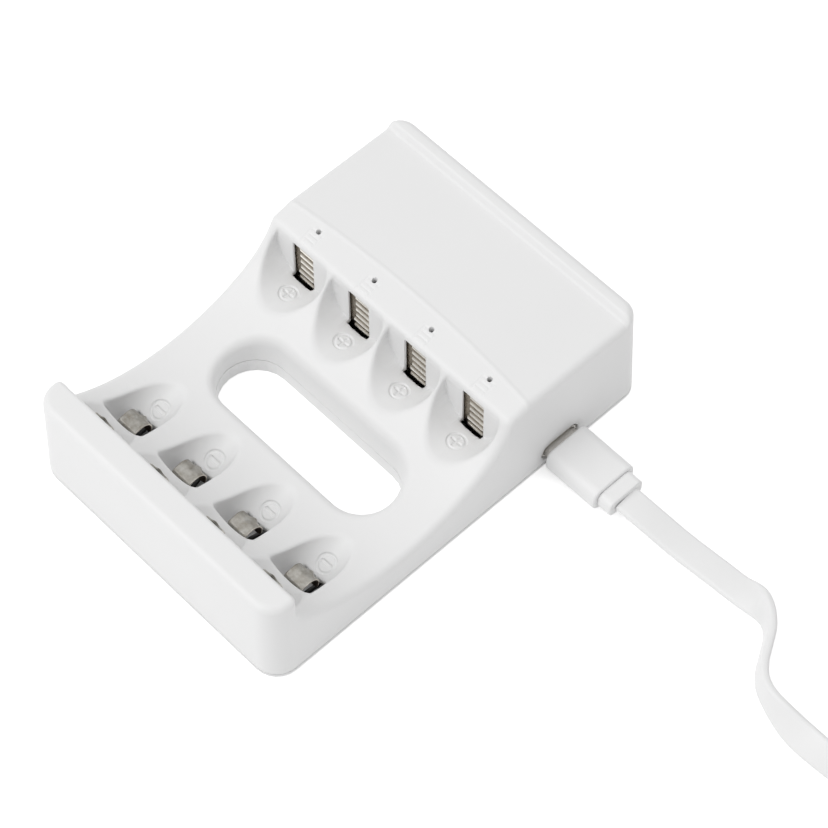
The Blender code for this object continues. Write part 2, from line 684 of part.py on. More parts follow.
def plan_outline(inset, level, count=6):
    """The body's outline at a level, as a ring of points."""
    points = []
    corners = ((-0.5, 1, -1), (0.0, 1, 1), (0.5, -1, 1), (1.0, -1, -1))
    for turn, way_x, way_y in corners:
        radius = FRONT_CORNER_RADIUS if way_y < 0 else REAR_CORNER_RADIUS
        radius = max(radius - inset, GAP)
        centre_x = way_x * (BODY_WIDTH / 2 - inset - radius)
        centre_y = way_y * (BODY_LENGTH / 2 - inset - radius)
        for index in range(count + 1):
            angle = (turn + 0.5 * index / count) * pi
            x, y, _ = drafted(centre_x + radius * cos(angle), centre_y + radius * sin(angle), level)
            points.append((x, y))
    return points


def bottom_cover(white):
    """The lower moulding: a floor with a locating rim, board posts and the opening's lower wall."""
    edge = [
        [(x, y, 0.0) for x, y in plan_outline(COVER_EDGE, 0.0)],
        [(x, y, COVER_EDGE) for x, y in plan_outline(0.0, COVER_EDGE)],
        [(x, y, COVER_FLANGE) for x, y in plan_outline(0.0, COVER_FLANGE)],
    ]
    cover = place("bottom_cover", loft(edge), white, smooth=True)
    rim_inset = SHELL_WALL + GAP
    levels = (COVER_FLANGE / 2, COVER_RIM_HEIGHT)
    rim = loft([[(x, y, z) for x, y in plan_outline(rim_inset, z)] for z in levels])
    combine(cover, guide("cover_rim", rim), "UNION")
    tray = loft(
        [
            [(x, y, z) for x, y in plan_outline(rim_inset + COVER_RIM_THICKNESS, z)]
            for z in (COVER_FLOOR, 2 * COVER_RIM_HEIGHT)
        ]
    )
    tray = guide("cover_tray", tray)
    combine(tray, guide("cover_opening_wall", opening_form(OPENING_WALL, 0.0, OPENING_JOINT_HEIGHT)))
    for index, (x, y) in enumerate(screw_places(), start=1):
        collar = prism_z(circle(x, y, BOSS_DIAMETER / 2 + GAP, 16), 0.0, COVER_RIM_HEIGHT)
        combine(tray, guide(f"cover_boss_{index}", collar))
    combine(cover, tray)
    wall = opening_form(OPENING_WALL, COVER_FLANGE, OPENING_JOINT_HEIGHT)
    combine(cover, guide("cover_opening_rise", wall), "UNION")
    for index, x in enumerate(BAYS, start=1):
        top = BEND_HEIGHT - (BEND_Y - REAR_LEG_Y) / 2 - CONTACT_SHEET / 2 - GAP
        seat = box(
            (x - SEAT_WIDTH / 2, REAR_LEG_Y - GAP, COVER_FLANGE),
            (x + SEAT_WIDTH / 2, BEND_Y - GAP, top),
        )
        combine(cover, guide(f"contact_seat_{index}", seat), "UNION")
    for index, (x, y) in enumerate(board_posts(), start=1):
        post = prism_z(circle(x, y, POST_DIAMETER / 2, 14), COVER_FLANGE, BOARD_BOTTOM - GAP)
        combine(cover, guide(f"board_post_{index}", post), "UNION")
    combine(cover, guide("cover_opening", opening_form(0.0, -COVER_FLOOR, 2 * COVER_RIM_HEIGHT)))
    for index, (x, y) in enumerate(screw_places(), start=1):
        recess = prism_z(circle(x, y, SCREW_HEAD / 2 + GAP, 18), -COVER_FLOOR, SCREW_RECESS_DEPTH)
        combine(cover, guide(f"screw_recess_{index}", recess))
        passage = prism_z(circle(x, y, SCREW_SHANK / 2 + GAP, 12), 0.0, 2 * COVER_RIM_HEIGHT)
        combine(cover, guide(f"screw_passage_{index}", passage))
    port = prism_x(
        socket_outline(SOCKET_GROWTH + GAP),
        side_x(SOCKET_HEIGHT) - 3 * SHELL_WALL,
        side_x(0.0) + SHELL_WALL,
        (SOCKET_Y, SOCKET_HEIGHT),
    )
    combine(cover, guide("cover_port", port))
    return cover


def board_posts():
    """Two posts in front of the socket's place, one beside the board's middle and one at its rear."""
    across = BOARD_WIDTH / 2 - POST_DIAMETER
    beside_socket = SOCKET_Y - PLUG_SHELL_WIDTH / 2 - SOCKET_GROWTH - GAP - POST_DIAMETER / 2
    yield -across, beside_socket
    yield across, beside_socket
    yield -across, BOARD_MIDDLE_Y
    yield 0.0, BOARD_REAR_Y - POST_DIAMETER


def cover_screws(steel):
    for index, (x, y) in enumerate(screw_places(), start=1):
        head_top = SCREW_RECESS_DEPTH - GAP
        head_low = head_top - SCREW_HEAD_HEIGHT
        section = (
            (SCREW_HEAD / 2 * 0.8, head_low),
            (SCREW_HEAD / 2, head_low + SCREW_HEAD_HEIGHT / 3),
            (SCREW_HEAD / 2, head_top),
            (SCREW_SHANK / 2, head_top),
            (SCREW_SHANK / 2, SCREW_LENGTH),
            (SCREW_SHANK / 6, SCREW_LENGTH + SCREW_SHANK / 2),
        )
        form = loft([[(px, py, z) for px, py in circle(x, y, radius, 12)] for radius, z in section])
        screw = place(f"cover_screw_{index}", form, steel, (x, y, 0.0), smooth=True)
        depth = head_low + SCREW_HEAD_HEIGHT / 2
        arms = ((SCREW_SLOT_LENGTH / 2, SCREW_SLOT_WIDTH / 2), (SCREW_SLOT_WIDTH / 2, SCREW_SLOT_LENGTH / 2))
        for word, (reach_x, reach_y) in zip(("slot", "cross"), arms):
            cut = box((x - reach_x, y - reach_y, 0.0), (x + reach_x, y + reach_y, depth))
            combine(screw, guide(f"driver_{word}_{index}", cut))


def positive_contacts(nickel):
    """Ridged plates behind the windows, with a soldered tail on the board."""
    front = SCOOP_WALL_Y + SCOOP_SKIN - PLATE_SEAT + GAP
    crest = front + SHEET / 2
    foot_z = BOARD_BOTTOM + BOARD_THICKNESS + GAP + SHEET / 2
    for index, x in enumerate(BAYS, start=1):
        path = []
        steps = 4 * RIDGE_COUNT
        for step in range(steps + 1):
            share = step / steps
            z = POSITIVE_TOP + share * (POSITIVE_BOTTOM - POSITIVE_TOP)
            path.append((crest + RIDGE_DEPTH * (0.5 - 0.5 * cos(2 * pi * RIDGE_COUNT * share)), z))
        form = bent_sheet(path, SHEET, POSITIVE_WIDTH)
        form.transform(Matrix.Translation((x, 0.0, 0.0)))
        plate = place(f"positive_contact_{index}", form, nickel, smooth=True)
        tail_path = [(crest, POSITIVE_BOTTOM + SHEET)]
        tail_path += arc(crest + TAIL_BEND, foot_z + TAIL_BEND, TAIL_BEND, pi, 1.5 * pi, 4)
        tail_path += [(crest + TAIL_FOOT, foot_z)]
        tail = bent_sheet(tail_path, SHEET, TAIL_WIDTH)
        tail.transform(Matrix.Translation((x, 0.0, 0.0)))
        combine(plate, guide(f"contact_tail_{index}", tail), "UNION")


def contact_stations():
    """The strip's centre line from leg to hood, as (y, z, half width, height of the crease)."""
    leg, hood, face = REAR_LEG_WIDTH / 2, HOOD_WIDTH / 2, HOOD_FACE_WIDTH / 2
    nib_z = REAR_LEG_TOP - LEG_NIB_DROP
    stations = [
        (REAR_LEG_Y, REAR_LEG_TOP, leg, NIB_DEPTH / 2),
        (REAR_LEG_Y, nib_z, leg, NIB_DEPTH),
        (REAR_LEG_Y, nib_z - 2 * LEG_NIB_DROP, leg, 0.0),
        (REAR_LEG_Y, CRADLE_FLOOR_HEIGHT - SHELL_WALL, leg, 0.0),
    ]
    bend = BEND_WIDTH / 2
    stations += [(y, z, hood, 0.0) for y, z in arc(REAR_LEG_Y + bend, BEND_HEIGHT, bend, pi, 2 * pi, 6)]
    top = HOOD_TOP - CONTACT_SHEET / 2
    radius = HOOD_REAR_RADIUS
    stations += [(HOOD_RISE_Y, HOOD_RISE_FOOT, hood, 0.0)]
    rear = arc(HOOD_RISE_Y + radius, top - radius, radius, pi, pi / 2, 3)
    stations += [(y, z, hood, 0.0) for y, z in rear]
    radius = HOOD_FRONT_RADIUS
    stations += [(HOOD_FACE_Y - 1.8 * radius, top, hood, 0.0)]
    front = arc(HOOD_FACE_Y - radius, top - radius, radius, pi / 2, 0.0, 4)
    stations += [(y, z, face, NIB_DEPTH * (0.5 + index / 8)) for index, (y, z) in enumerate(front)]
    middle = (top - radius + HOOD_FACE_BOTTOM) / 2
    stations += [(HOOD_FACE_Y, middle, face, NIB_DEPTH), (HOOD_FACE_Y, HOOD_FACE_BOTTOM, hood, 0.0)]
    return stations


def creased_sheet(stations, sheet):
    """A strip of even thickness along stations in the YZ plane, with a crease along its middle."""
    rings = []
    for index, (y, z, half, crease) in enumerate(stations):
        before = stations[max(index - 1, 0)]
        after = stations[min(index + 1, len(stations) - 1)]
        run = Vector((after[0] - before[0], after[1] - before[1])).normalized()
        out = Vector((-run.y, run.x))
        columns = ((-1.0, 0.0), (-NIB_SHARE, 0.0), (0.0, crease), (NIB_SHARE, 0.0), (1.0, 0.0))
        ring = []
        for side, line in ((1, columns), (-1, reversed(columns))):
            for share, rise in line:
                point = Vector((y, z)) + out * (rise + side * sheet / 2)
                ring.append((share * half, point.x, point.y))
        rings.append(ring)
    return loft(rings)


def negative_contacts(nickel):
    """One folded strip for each bay. It rocks on its bottom bend when a cell presses on it."""
    pivot_y = (REAR_LEG_Y + BEND_Y) / 2
    for index, x in enumerate(BAYS, start=1):
        form = creased_sheet(contact_stations(), CONTACT_SHEET)
        form.transform(Matrix.Translation((x, 0.0, 0.0)))
        place(f"negative_contact_{index}", form, nickel, (x, pivot_y, BEND_HEIGHT), smooth=True)


def circuit_board(green):
    corners = rounded_rectangle(BOARD_WIDTH, BOARD_REAR_Y - BOARD_FRONT_Y, BOARD_CORNER, 3)
    form = prism_z(corners, BOARD_BOTTOM, BOARD_BOTTOM + BOARD_THICKNESS, (0.0, BOARD_MIDDLE_Y))
    board = place("circuit_board", form, green)
    for index, (x, y) in enumerate(screw_places(), start=1):
        notch = prism_z(circle(x, y, BOSS_DIAMETER / 2 + 2 * GAP, 16), 0.0, CREASE_HEIGHT)
        combine(board, guide(f"board_notch_{index}", notch))


def on_board(offset):
    return offset[0], BOARD_MIDDLE_Y + offset[1]


def board_parts(black, aluminium, ferrite):
    top = BOARD_BOTTOM + BOARD_THICKNESS + GAP
    place("charge_controller", chip_form(top), black)
    x, y = on_board(CAPACITOR_OFFSET)
    radius = CAPACITOR_DIAMETER / 2
    section = (
        (radius, top),
        (radius, top + CAPACITOR_GROOVE_HEIGHT - CAPACITOR_EDGE),
        (radius - CAPACITOR_EDGE, top + CAPACITOR_GROOVE_HEIGHT),
        (radius, top + CAPACITOR_GROOVE_HEIGHT + CAPACITOR_EDGE),
        (radius, top + CAPACITOR_HEIGHT - CAPACITOR_EDGE),
        (radius - CAPACITOR_EDGE, top + CAPACITOR_HEIGHT),
    )
    can = loft([[(px, py, z) for px, py in circle(x, y, size, 16)] for size, z in section])
    place("capacitor", can, aluminium, (x, y, top), smooth=True)
    width, depth, height = INDUCTOR_SIZE
    x, y = on_board(INDUCTOR_OFFSET)
    outline = rounded_rectangle(width, depth, INDUCTOR_CORNER, 3)
    place("inductor", prism_z(outline, top, top + height, (x, y)), ferrite, (x, y, top))


def chip_form(top):
    """A small-outline package, widest at its parting line."""
    width, depth, height = CHIP_SIZE
    x, y = on_board(CHIP_OFFSET)
    outline = [
        (-depth / 2 + CHIP_BEVEL, top),
        (depth / 2 - CHIP_BEVEL, top),
        (depth / 2, top + height / 2),
        (depth / 2 - CHIP_BEVEL, top + height),
        (-depth / 2 + CHIP_BEVEL, top + height),
        (-depth / 2, top + height / 2),
    ]
    return prism_x(outline, x - width / 2, x + width / 2, (y, 0.0))


def lamps(clear):
    """Indicator lamps on tall legs, just under the holes in the strip."""
    foot = BOARD_BOTTOM + BOARD_THICKNESS + GAP
    top = STRIP_FRONT_HEIGHT - SHELL_WALL - GAP
    low = top - LAMP_LENGTH
    radius = LAMP_DIAMETER / 2
    rim_top = low + LAMP_RIM_HEIGHT
    section = [(radius + LAMP_RIM, low), (radius + LAMP_RIM, rim_top), (radius, rim_top)]
    for step in range(4):
        angle = step * pi / 8
        section.append((radius * cos(angle), top - radius + radius * sin(angle)))
    section.append((LAMP_RIM, top))
    for index, x in enumerate(BAYS, start=1):
        form = loft([[(px, py, z) for px, py in circle(x, LAMP_Y, size, 12)] for size, z in section])
        lamp = place(f"indicator_lamp_{index}", form, clear, (x, LAMP_Y, low), smooth=True)
        for side, word in ((-1, "left"), (1, "right")):
            across = x + side * LAMP_LEG_SPACING / 2
            leg = box(
                (across - LAMP_LEG / 2, LAMP_Y - LAMP_LEG / 2, foot),
                (across + LAMP_LEG / 2, LAMP_Y + LAMP_LEG / 2, low + LAMP_LEG),
            )
            combine(lamp, guide(f"lamp_leg_{word}_{index}", leg), "UNION")


def usb_socket(steel, black):
    """A metal shell under the board's edge, with a contact tongue inside it."""
    mouth = side_x(SOCKET_HEIGHT) - GAP
    place_yz = (SOCKET_Y, SOCKET_HEIGHT)
    outer = prism_x(socket_outline(SOCKET_GROWTH), mouth - SOCKET_LENGTH, mouth, place_yz)
    shell = place("socket_shell", outer, steel, (mouth, SOCKET_Y, SOCKET_HEIGHT), smooth=True)
    bore = prism_x(socket_outline(PLUG_CLEARANCE), mouth - SOCKET_LENGTH - GAP, mouth + GAP, place_yz)
    combine(shell, guide("socket_bore", bore))
    back = mouth - SOCKET_LENGTH
    block = prism_x(socket_outline(PLUG_CLEARANCE - GAP), back + GAP / 3, back + TONGUE_BLOCK, place_yz)
    tongue = place("socket_tongue", block, black, (back, SOCKET_Y, SOCKET_HEIGHT))
    start = back + TONGUE_BLOCK - GAP
    blade = box(
        (start, SOCKET_Y - TONGUE_WIDTH / 2, SOCKET_HEIGHT - TONGUE_THICKNESS / 2),
        (start + TONGUE_LENGTH, SOCKET_Y + TONGUE_WIDTH / 2, SOCKET_HEIGHT + TONGUE_THICKNESS / 2),
    )
    combine(tongue, guide("tongue_blade", blade), "UNION")


def rounded_bar(x_low, x_high, width, thickness, radius, edge, centre):
    """A bar along X with a rounded section and softened ends."""
    centre_y, centre_z = centre
    rings = []
    stations = [(x_low + edge * (1 - cos(a)), edge * (1 - sin(a))) for a in (0.0, pi / 6, pi / 3, pi / 2)]
    stations += [(x_high - edge * (1 - cos(a)), edge * (1 - sin(a))) for a in (pi / 2, pi / 3, pi / 6, 0.0)]
    for x, cut in stations:
        outline = rounded_rectangle(width - 2 * cut, thickness - 2 * cut, max(radius - cut, edge / 4), 3)
        rings.append([(x, centre_y + y, centre_z + z) for y, z in outline])
    return loft(rings)


def usb_plug(white, steel):
    """The near plug: metal shell, moulded grip and its strain relief."""
    face = side_x(SOCKET_HEIGHT) + PLUG_STANDOFF
    tip = face - PLUG_SHELL_LENGTH
    centre = (SOCKET_Y, SOCKET_HEIGHT)
    outer = prism_x(socket_outline(0.0), tip, face + PLUG_SHELL_SEAT - GAP, centre)
    shell = place("plug_shell", outer, steel, (tip, SOCKET_Y, SOCKET_HEIGHT), smooth=True)
    bore = prism_x(socket_outline(-PLUG_SHELL_SHEET), tip - GAP, face - SHEET, centre)
    combine(shell, guide("plug_bore", bore))
    body_end = face + PLUG_BODY_LENGTH
    form = rounded_bar(
        face, body_end, PLUG_BODY_WIDTH, PLUG_BODY_THICKNESS, PLUG_BODY_ROUND, PLUG_BODY_EDGE, centre
    )
    body = place("plug_body", form, white, (face, SOCKET_Y, SOCKET_HEIGHT), smooth=True)
    pocket = prism_x(socket_outline(GAP), face - PLUG_SHELL_SEAT, face + PLUG_SHELL_SEAT, centre)
    combine(body, guide("plug_pocket", pocket))
    collar_start = body_end + GAP
    collar_end = collar_start + COLLAR_LENGTH
    form = rounded_bar(
        collar_start, collar_end, COLLAR_WIDTH, COLLAR_THICKNESS, COLLAR_ROUND, COLLAR_EDGE, centre
    )
    place("plug_strain_relief", form, white, (collar_start, SOCKET_Y, SOCKET_HEIGHT), smooth=True)
    return collar_end


def smooth_route(points, spacing):
    """Points at even steps along a Catmull-Rom curve through the route's own points."""
    nodes = [Vector(point) for point in points]
    nodes = [2 * nodes[0] - nodes[1]] + nodes + [2 * nodes[-1] - nodes[-2]]
    dense = []
    for index in range(1, len(nodes) - 2):
        before, start, end, after = nodes[index - 1 : index + 3]
        for step in range(20):
            t = step / 20
            dense.append(
                0.5
                * (
                    2 * start
                    + (end - before) * t
                    + (2 * before - 5 * start + 4 * end - after) * t * t
                    + (3 * start - 3 * end + after - before) * t * t * t
                )
            )
    dense.append(nodes[-2])
    kept = [dense[0]]
    for point in dense[1:]:
        if (point - kept[-1]).length >= spacing:
            kept.append(point)
    if (dense[-1] - kept[-1]).length < spacing / 2:
        kept.pop()
    kept.append(dense[-1])
    return kept


def tube(name, points, material, radius=LEAD_THICKNESS / 2, resolution=2):
    curve = bpy.data.curves.new(name, "CURVE")
    curve.dimensions = "3D"
    curve.bevel_depth = radius
    curve.bevel_resolution = resolution
    curve.use_fill_caps = True
    spline = curve.splines.new("POLY")
    spline.points.add(len(points) - 1)
    for target, point in zip(spline.points, points):
        target.co = (*point, 1.0)
    curve.materials.append(material)
    made = bpy.data.objects.new(name, curve)
    bpy.context.scene.collection.objects.link(made)
    return made


def usb_lead(white, collar_end):
    """The lead as it lies, the coil of its spare length and the tie round the coil."""
    centre_x, centre_y = COIL_CENTRE
    outer = COIL_RADIUS + COIL_BAND / 2
    inner = COIL_RADIUS - COIL_BAND / 2
    low = TIE_SHEET + GAP
    reach = sqrt(outer**2 - (COIL_RADIUS - LEAD_THICKNESS / 2) ** 2)
    exit_point = (collar_end + GAP, SOCKET_Y, SOCKET_HEIGHT)
    meets = (centre_x - reach - GAP, centre_y - COIL_RADIUS, low + COIL_HEIGHT / 2)
    route = smooth_route((exit_point, *LEAD_ROUTE, meets), 2.5 * LEAD_THICKNESS / 2)
    tube("lead_cable", route, white)
    section = (
        (outer, low + COIL_EDGE),
        (outer - COIL_EDGE, low),
        (inner + COIL_EDGE, low),
        (inner, low + COIL_EDGE),
        (inner, low + COIL_HEIGHT - COIL_EDGE),
        (inner + COIL_EDGE, low + COIL_HEIGHT),
        (outer - COIL_EDGE, low + COIL_HEIGHT),
        (outer, low + COIL_HEIGHT - COIL_EDGE),
    )
    form = bmesh.new()
    loops = []
    steps = 36
    for step in range(steps):
        turn = 2 * pi * step / steps
        loops.append(
            [
                form.verts.new((centre_x + radius * cos(turn), centre_y + radius * sin(turn), z))
                for radius, z in section
            ]
        )
    for step in range(steps):
        near, far = loops[step], loops[(step + 1) % steps]
        for index in range(len(section)):
            after = (index + 1) % len(section)
            form.faces.new((near[index], near[after], far[after], far[index]))
    place("lead_coil", form, white, (centre_x, centre_y, low), smooth=True)
    return outer, inner, low


def coil_tie(grey, outer, inner, low):
    """A flat tie wrapped once round the coil's turns."""
    centre_x, centre_y = COIL_CENTRE
    near, far = inner - 2 * GAP, outer + GAP
    high = low + COIL_HEIGHT + GAP
    frame = rounded_rectangle(far - near + 2 * TIE_SHEET, high + TIE_SHEET, TIE_ROUND, 3)
    hole = rounded_rectangle(far - near, high - TIE_SHEET, TIE_SHEET, 3)
    middle = ((near + far) / 2, (high + TIE_SHEET) / 2)
    band = prism_y(frame, -TIE_WIDTH / 2, TIE_WIDTH / 2, middle)
    tie = place("coil_tie", turned(band), grey, (centre_x, centre_y, 0.0))
    cut = prism_y(hole, -TIE_WIDTH, TIE_WIDTH, middle)
    combine(tie, guide("tie_hole", turned(cut)))


def turned(form):
    """Turns a form about the coil's axis to where the tie sits."""
    centre_x, centre_y = COIL_CENTRE
    form.transform(Matrix.Translation((centre_x, centre_y, 0.0)) @ Matrix.Rotation(TIE_ANGLE, 4, "Z"))
    return form


def far_shell_outline(grow):
    width = FAR_SHELL_WIDTH + 2 * grow
    thickness = FAR_SHELL_THICKNESS + 2 * grow
    return rounded_rectangle(width, thickness, FAR_SHELL_CORNER + grow, 2)


def far_plug(white, steel, black, outer, low):
    """The plug at the lead's other end, lying beside the coil."""
    centre_x, centre_y = COIL_CENTRE
    lane = centre_y + COIL_RADIUS
    level = FAR_BODY_THICKNESS / 2
    reach = sqrt(outer**2 - (COIL_RADIUS - LEAD_THICKNESS / 2) ** 2)
    start = centre_x - reach - GAP
    end = start - TAIL_LENGTH
    tail = [(start, lane, low + COIL_HEIGHT / 2), ((start + end) / 2, lane, level), (end, lane, level)]
    tube("lead_tail", smooth_route(tail, TAIL_LENGTH / 2), white)
    collar_high = end - GAP
    collar_low = collar_high - FAR_COLLAR_LENGTH
    rings = []
    for share in (0.0, 0.5, 1.0):
        x = collar_low + share * FAR_COLLAR_LENGTH
        wide, thick = (
            start_size + share * (end_size - start_size)
            for start_size, end_size in (FAR_COLLAR_WIDTHS, FAR_COLLAR_THICKNESSES)
        )
        outline = rounded_rectangle(wide, thick, FAR_COLLAR_ROUND, 4)
        rings.append([(x, lane + y, level + z) for y, z in outline])
    place("far_strain_relief", loft(rings), white, (collar_high, lane, level), smooth=True)
    body_high = collar_low - GAP
    body_low = body_high - FAR_BODY_LENGTH
    form = rounded_bar(
        body_low, body_high, FAR_BODY_WIDTH, FAR_BODY_THICKNESS, FAR_BODY_ROUND, FAR_BODY_EDGE, (lane, level)
    )
    body = place("far_plug_body", form, white, (body_high, lane, level), smooth=True)
    sheet = PLUG_SHELL_SHEET
    centre = (lane, level)
    pocket = prism_x(far_shell_outline(GAP), body_low - FAR_SHELL_SEAT, body_low + FAR_SHELL_SEAT, centre)
    combine(body, guide("far_plug_pocket", pocket))
    tip = body_low - FAR_SHELL_LENGTH
    form = prism_x(far_shell_outline(0.0), tip, body_low + FAR_SHELL_SEAT - GAP, centre)
    shell = place("far_plug_shell", form, steel, (tip, lane, level), smooth=True)
    combine(shell, guide("far_bore", prism_x(far_shell_outline(-sheet), tip - GAP, body_low, centre)))
    for side, word in ((-1, "near"), (1, "other")):
        window = prism_z(
            rounded_rectangle(FAR_WINDOW, FAR_WINDOW, FAR_WINDOW_CORNER, 1),
            level,
            level + FAR_SHELL_THICKNESS,
            (tip + FAR_WINDOW_SETBACK, lane + side * FAR_WINDOW_SPACING / 2),
        )
        combine(shell, guide(f"far_shell_window_{word}", window))
    half = FAR_SHELL_WIDTH / 2 - 2 * sheet
    floor = level - FAR_SHELL_THICKNESS / 2 + 2 * sheet
    blade = box((tip + 2 * sheet, lane - half, floor), (body_low - GAP, lane + half, level - GAP))
    place("far_plug_insulator", blade, black, (tip, lane, level))


def negative_leads(material):
    """Wires from each negative contact to the board, round the oblong opening's wall."""
    low = COVER_FLOOR + 2 * GAP + WIRE_RADIUS
    high = low + 2 * WIRE_RADIUS + 2 * GAP
    lane = OPENING_LENGTH / 2 + OPENING_WALL + GAP + WIRE_RADIUS
    board = BOARD_BOTTOM - GAP - WIRE_RADIUS
    for index, x in enumerate(BAYS, start=1):
        side = -1 if x < 0 else 1
        outside = abs(x) > BAY_PITCH
        level = low if outside else high
        between = side * ((abs(x) + lane) / 2)
        points = [
            (x, BEND_Y + 2 * GAP, low),
            (x + side * 2 * GAP, POCKET_END_Y + POCKET_END_RADIUS, low),
            (between, POCKET_TIP_Y - POCKET_TIP_RADIUS, level),
            (side * lane, OPENING_Y - OPENING_WIDTH / 2, level),
            (side * lane, OPENING_Y, level),
            (side * lane, OPENING_Y + OPENING_WIDTH / 2, level),
            (between, BOARD_FRONT_Y - 2 * POCKET_TIP_RADIUS, level),
            (x, BOARD_FRONT_Y - 2 * WIRE_RADIUS, (level + board) / 2),
            (x, BOARD_FRONT_Y + 4 * WIRE_RADIUS, board),
        ]
        tube(f"negative_lead_{index}", smooth_route(points, 7 * WIRE_RADIUS), material, WIRE_RADIUS, 1)


def main():
    clear_scene()
    white = finish("white plastic", (0.80, 0.80, 0.80), 0.45)
    lead_white = finish("white flexible plastic", (0.82, 0.82, 0.82), 0.5)
    nickel = finish("nickel", (0.55, 0.52, 0.47), 0.35, 1.0)
    steel = finish("steel", (0.62, 0.60, 0.57), 0.3, 1.0)
    green = finish("circuit board", (0.05, 0.22, 0.10), 0.5)
    black = finish("black plastic", (0.03, 0.03, 0.03), 0.5)
    aluminium = finish("aluminium", (0.70, 0.70, 0.72), 0.35, 1.0)
    ferrite = finish("ferrite", (0.12, 0.12, 0.13), 0.6)
    clear = finish("lamp", (0.75, 0.78, 0.75), 0.15)
    wire = finish("wire", (0.05, 0.05, 0.05), 0.5)
    grey = finish("tie", (0.10, 0.10, 0.10), 0.7)
    top_housing(white)
    bottom_cover(white)
    cover_screws(steel)
    positive_contacts(nickel)
    negative_contacts(nickel)
    circuit_board(green)
    board_parts(black, aluminium, ferrite)
    lamps(clear)
    usb_socket(steel, black)
    negative_leads(wire)
    collar_end = usb_plug(lead_white, steel)
    outer, inner, low = usb_lead(lead_white, collar_end)
    coil_tie(grey, outer, inner, low)
    far_plug(lead_white, steel, black, outer, low)


main()
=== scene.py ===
"""Looks of a four-bay battery charger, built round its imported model."""
from math import cos, pi, radians, sin

import bmesh
import bpy
import numpy as np
from bpy.props import FloatProperty, FloatVectorProperty, IntProperty, PointerProperty
from mathutils import Matrix, Vector


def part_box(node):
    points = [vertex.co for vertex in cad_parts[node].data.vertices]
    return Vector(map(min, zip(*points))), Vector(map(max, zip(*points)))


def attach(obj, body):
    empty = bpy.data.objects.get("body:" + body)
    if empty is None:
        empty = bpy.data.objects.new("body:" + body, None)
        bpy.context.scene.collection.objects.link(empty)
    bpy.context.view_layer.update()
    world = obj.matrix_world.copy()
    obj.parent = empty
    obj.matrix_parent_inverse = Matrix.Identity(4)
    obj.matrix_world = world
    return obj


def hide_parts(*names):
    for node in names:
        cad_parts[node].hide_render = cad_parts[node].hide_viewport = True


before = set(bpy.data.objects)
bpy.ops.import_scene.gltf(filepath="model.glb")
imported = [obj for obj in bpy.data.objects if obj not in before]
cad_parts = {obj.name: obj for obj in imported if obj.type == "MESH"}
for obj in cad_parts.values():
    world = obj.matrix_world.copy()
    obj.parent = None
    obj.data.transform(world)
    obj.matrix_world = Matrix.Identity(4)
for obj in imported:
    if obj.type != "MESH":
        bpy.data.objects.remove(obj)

bl_info = {
    "name": "Four-bay battery charger",
    "version": (1, 0, 0),
    "blender": (4, 5, 0),
    "location": "3D View > Sidebar > Charger",
    "description": "Dresses the packed charger with its moulded housing, contacts, lead and studio",
    "category": "Object",
}

MM = 0.001
MERGE = 0.001 * MM
RELIEF_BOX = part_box("plug_strain_relief")
COIL_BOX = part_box("lead_coil")
FAR_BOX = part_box("far_strain_relief")

# Lengths from here to the property groups are in millimetres, unless a comment says metres

# The body in plan at the top of its draft, its corners and its foot
HALF_WIDTH, HALF_LENGTH = 33.85, 48.4
DRAFT, DRAFT_TOP = 0.6, 24.0
FRONT_CORNER, REAR_CORNER = 5.2, 4.0
FOOT_Z, FOOT_FILLET = 1.05, 0.3

# Its top from front to rear: lip, lamp strip, bowed crease, plate and ridge
LIP_REAR, LIP_TOP, LIP_FILLET = -41.6, 23.6, 0.7
STRIP_Y, STRIP_TOP, STRIP_RISE = 12.75, 24.0, 1.2
CREASE_Y, CREASE_BOW, CREASE_HIGH, CREASE_WIDE = 17.8, 2.2, 0.18, 0.36
PLATE_TOP, PLATE_FALL = 25.2, 0.2
RIDGE_Y, RIDGE_FOOT, RIDGE_RISE, RIDGE_RUN = 44.1, 25.0, 1.5, 1.5
TOP_FILLET = 0.9

# The hollow's three tangent arcs: centre in Y and Z, and radius
FRONT_ARC = (-16.118, 49.727, 41.227)
WIDE_ARC = (-16.118, 49.5, 41.0)
TIGHT_ARC = (-5.937, 31.133, 20.0)
WIDE_ARC_TURN = radians(29.0)

# Scoops, cradles and pockets of the bays, and the oblong opening
SCOOP_FRONT, SCOOP_REAR, SCOOP_FLOOR, SCOOP_RADIUS = -1.0, 12.4, 12.9, 7.6
SINK_Y, SINK_RUN, SCOOP_SINK = 1.0, 8.0, 0.9
CRADLE_REAR, CRADLE_Z, CRADLE_RADIUS, CRADLE_FILLET = -16.1, 19.5, 7.9, 0.35
POCKET_TIP, POCKET_REACH, POCKET_FRONT, POCKET_FILLET = -20.3, 15.3, -35.6, 0.9
POCKET_RADIUS, POCKET_GROWTH, POCKET_SINK, POCKET_CURVE = 4.0, 1.6, 8.3, 1.25
OPENING_Y, OPENING_STRAIGHT, OPENING_RADIUS = -8.8, 15.6, 7.7

# Walls of the shell, the height where the opening's tube starts, and the inner corners
WALL, SCOOP_WALL, POCKET_WALL, TUBE_WALL, TUBE_FOOT = 1.8, 1.0, 1.2, 1.6, 3.66
INNER_FILLET = 0.3

# Boxes at each bay, lowest and highest corner, with X from the bay's middle
PLATE_SEAT = ((-3.9, 13.02, 10.4), (3.9, 15.0, 23.0))
WINDOW = ((-2.85, 11.8, 11.1), (2.85, 14.4, 22.4))
LEG_SLOT = ((-2.85, -41.15, 3.1), (2.85, -38.1, 13.4))
HOOD_SLOT = ((-2.95, -37.3, 2.2), (2.95, -29.1, 6.2))
WINDOW_FILLET, SLOT_FILLET = 0.22, 0.15
LAMP_Y, LAMP_RADIUS, LAMP_FOOT = 16.85, 0.55, 21.0

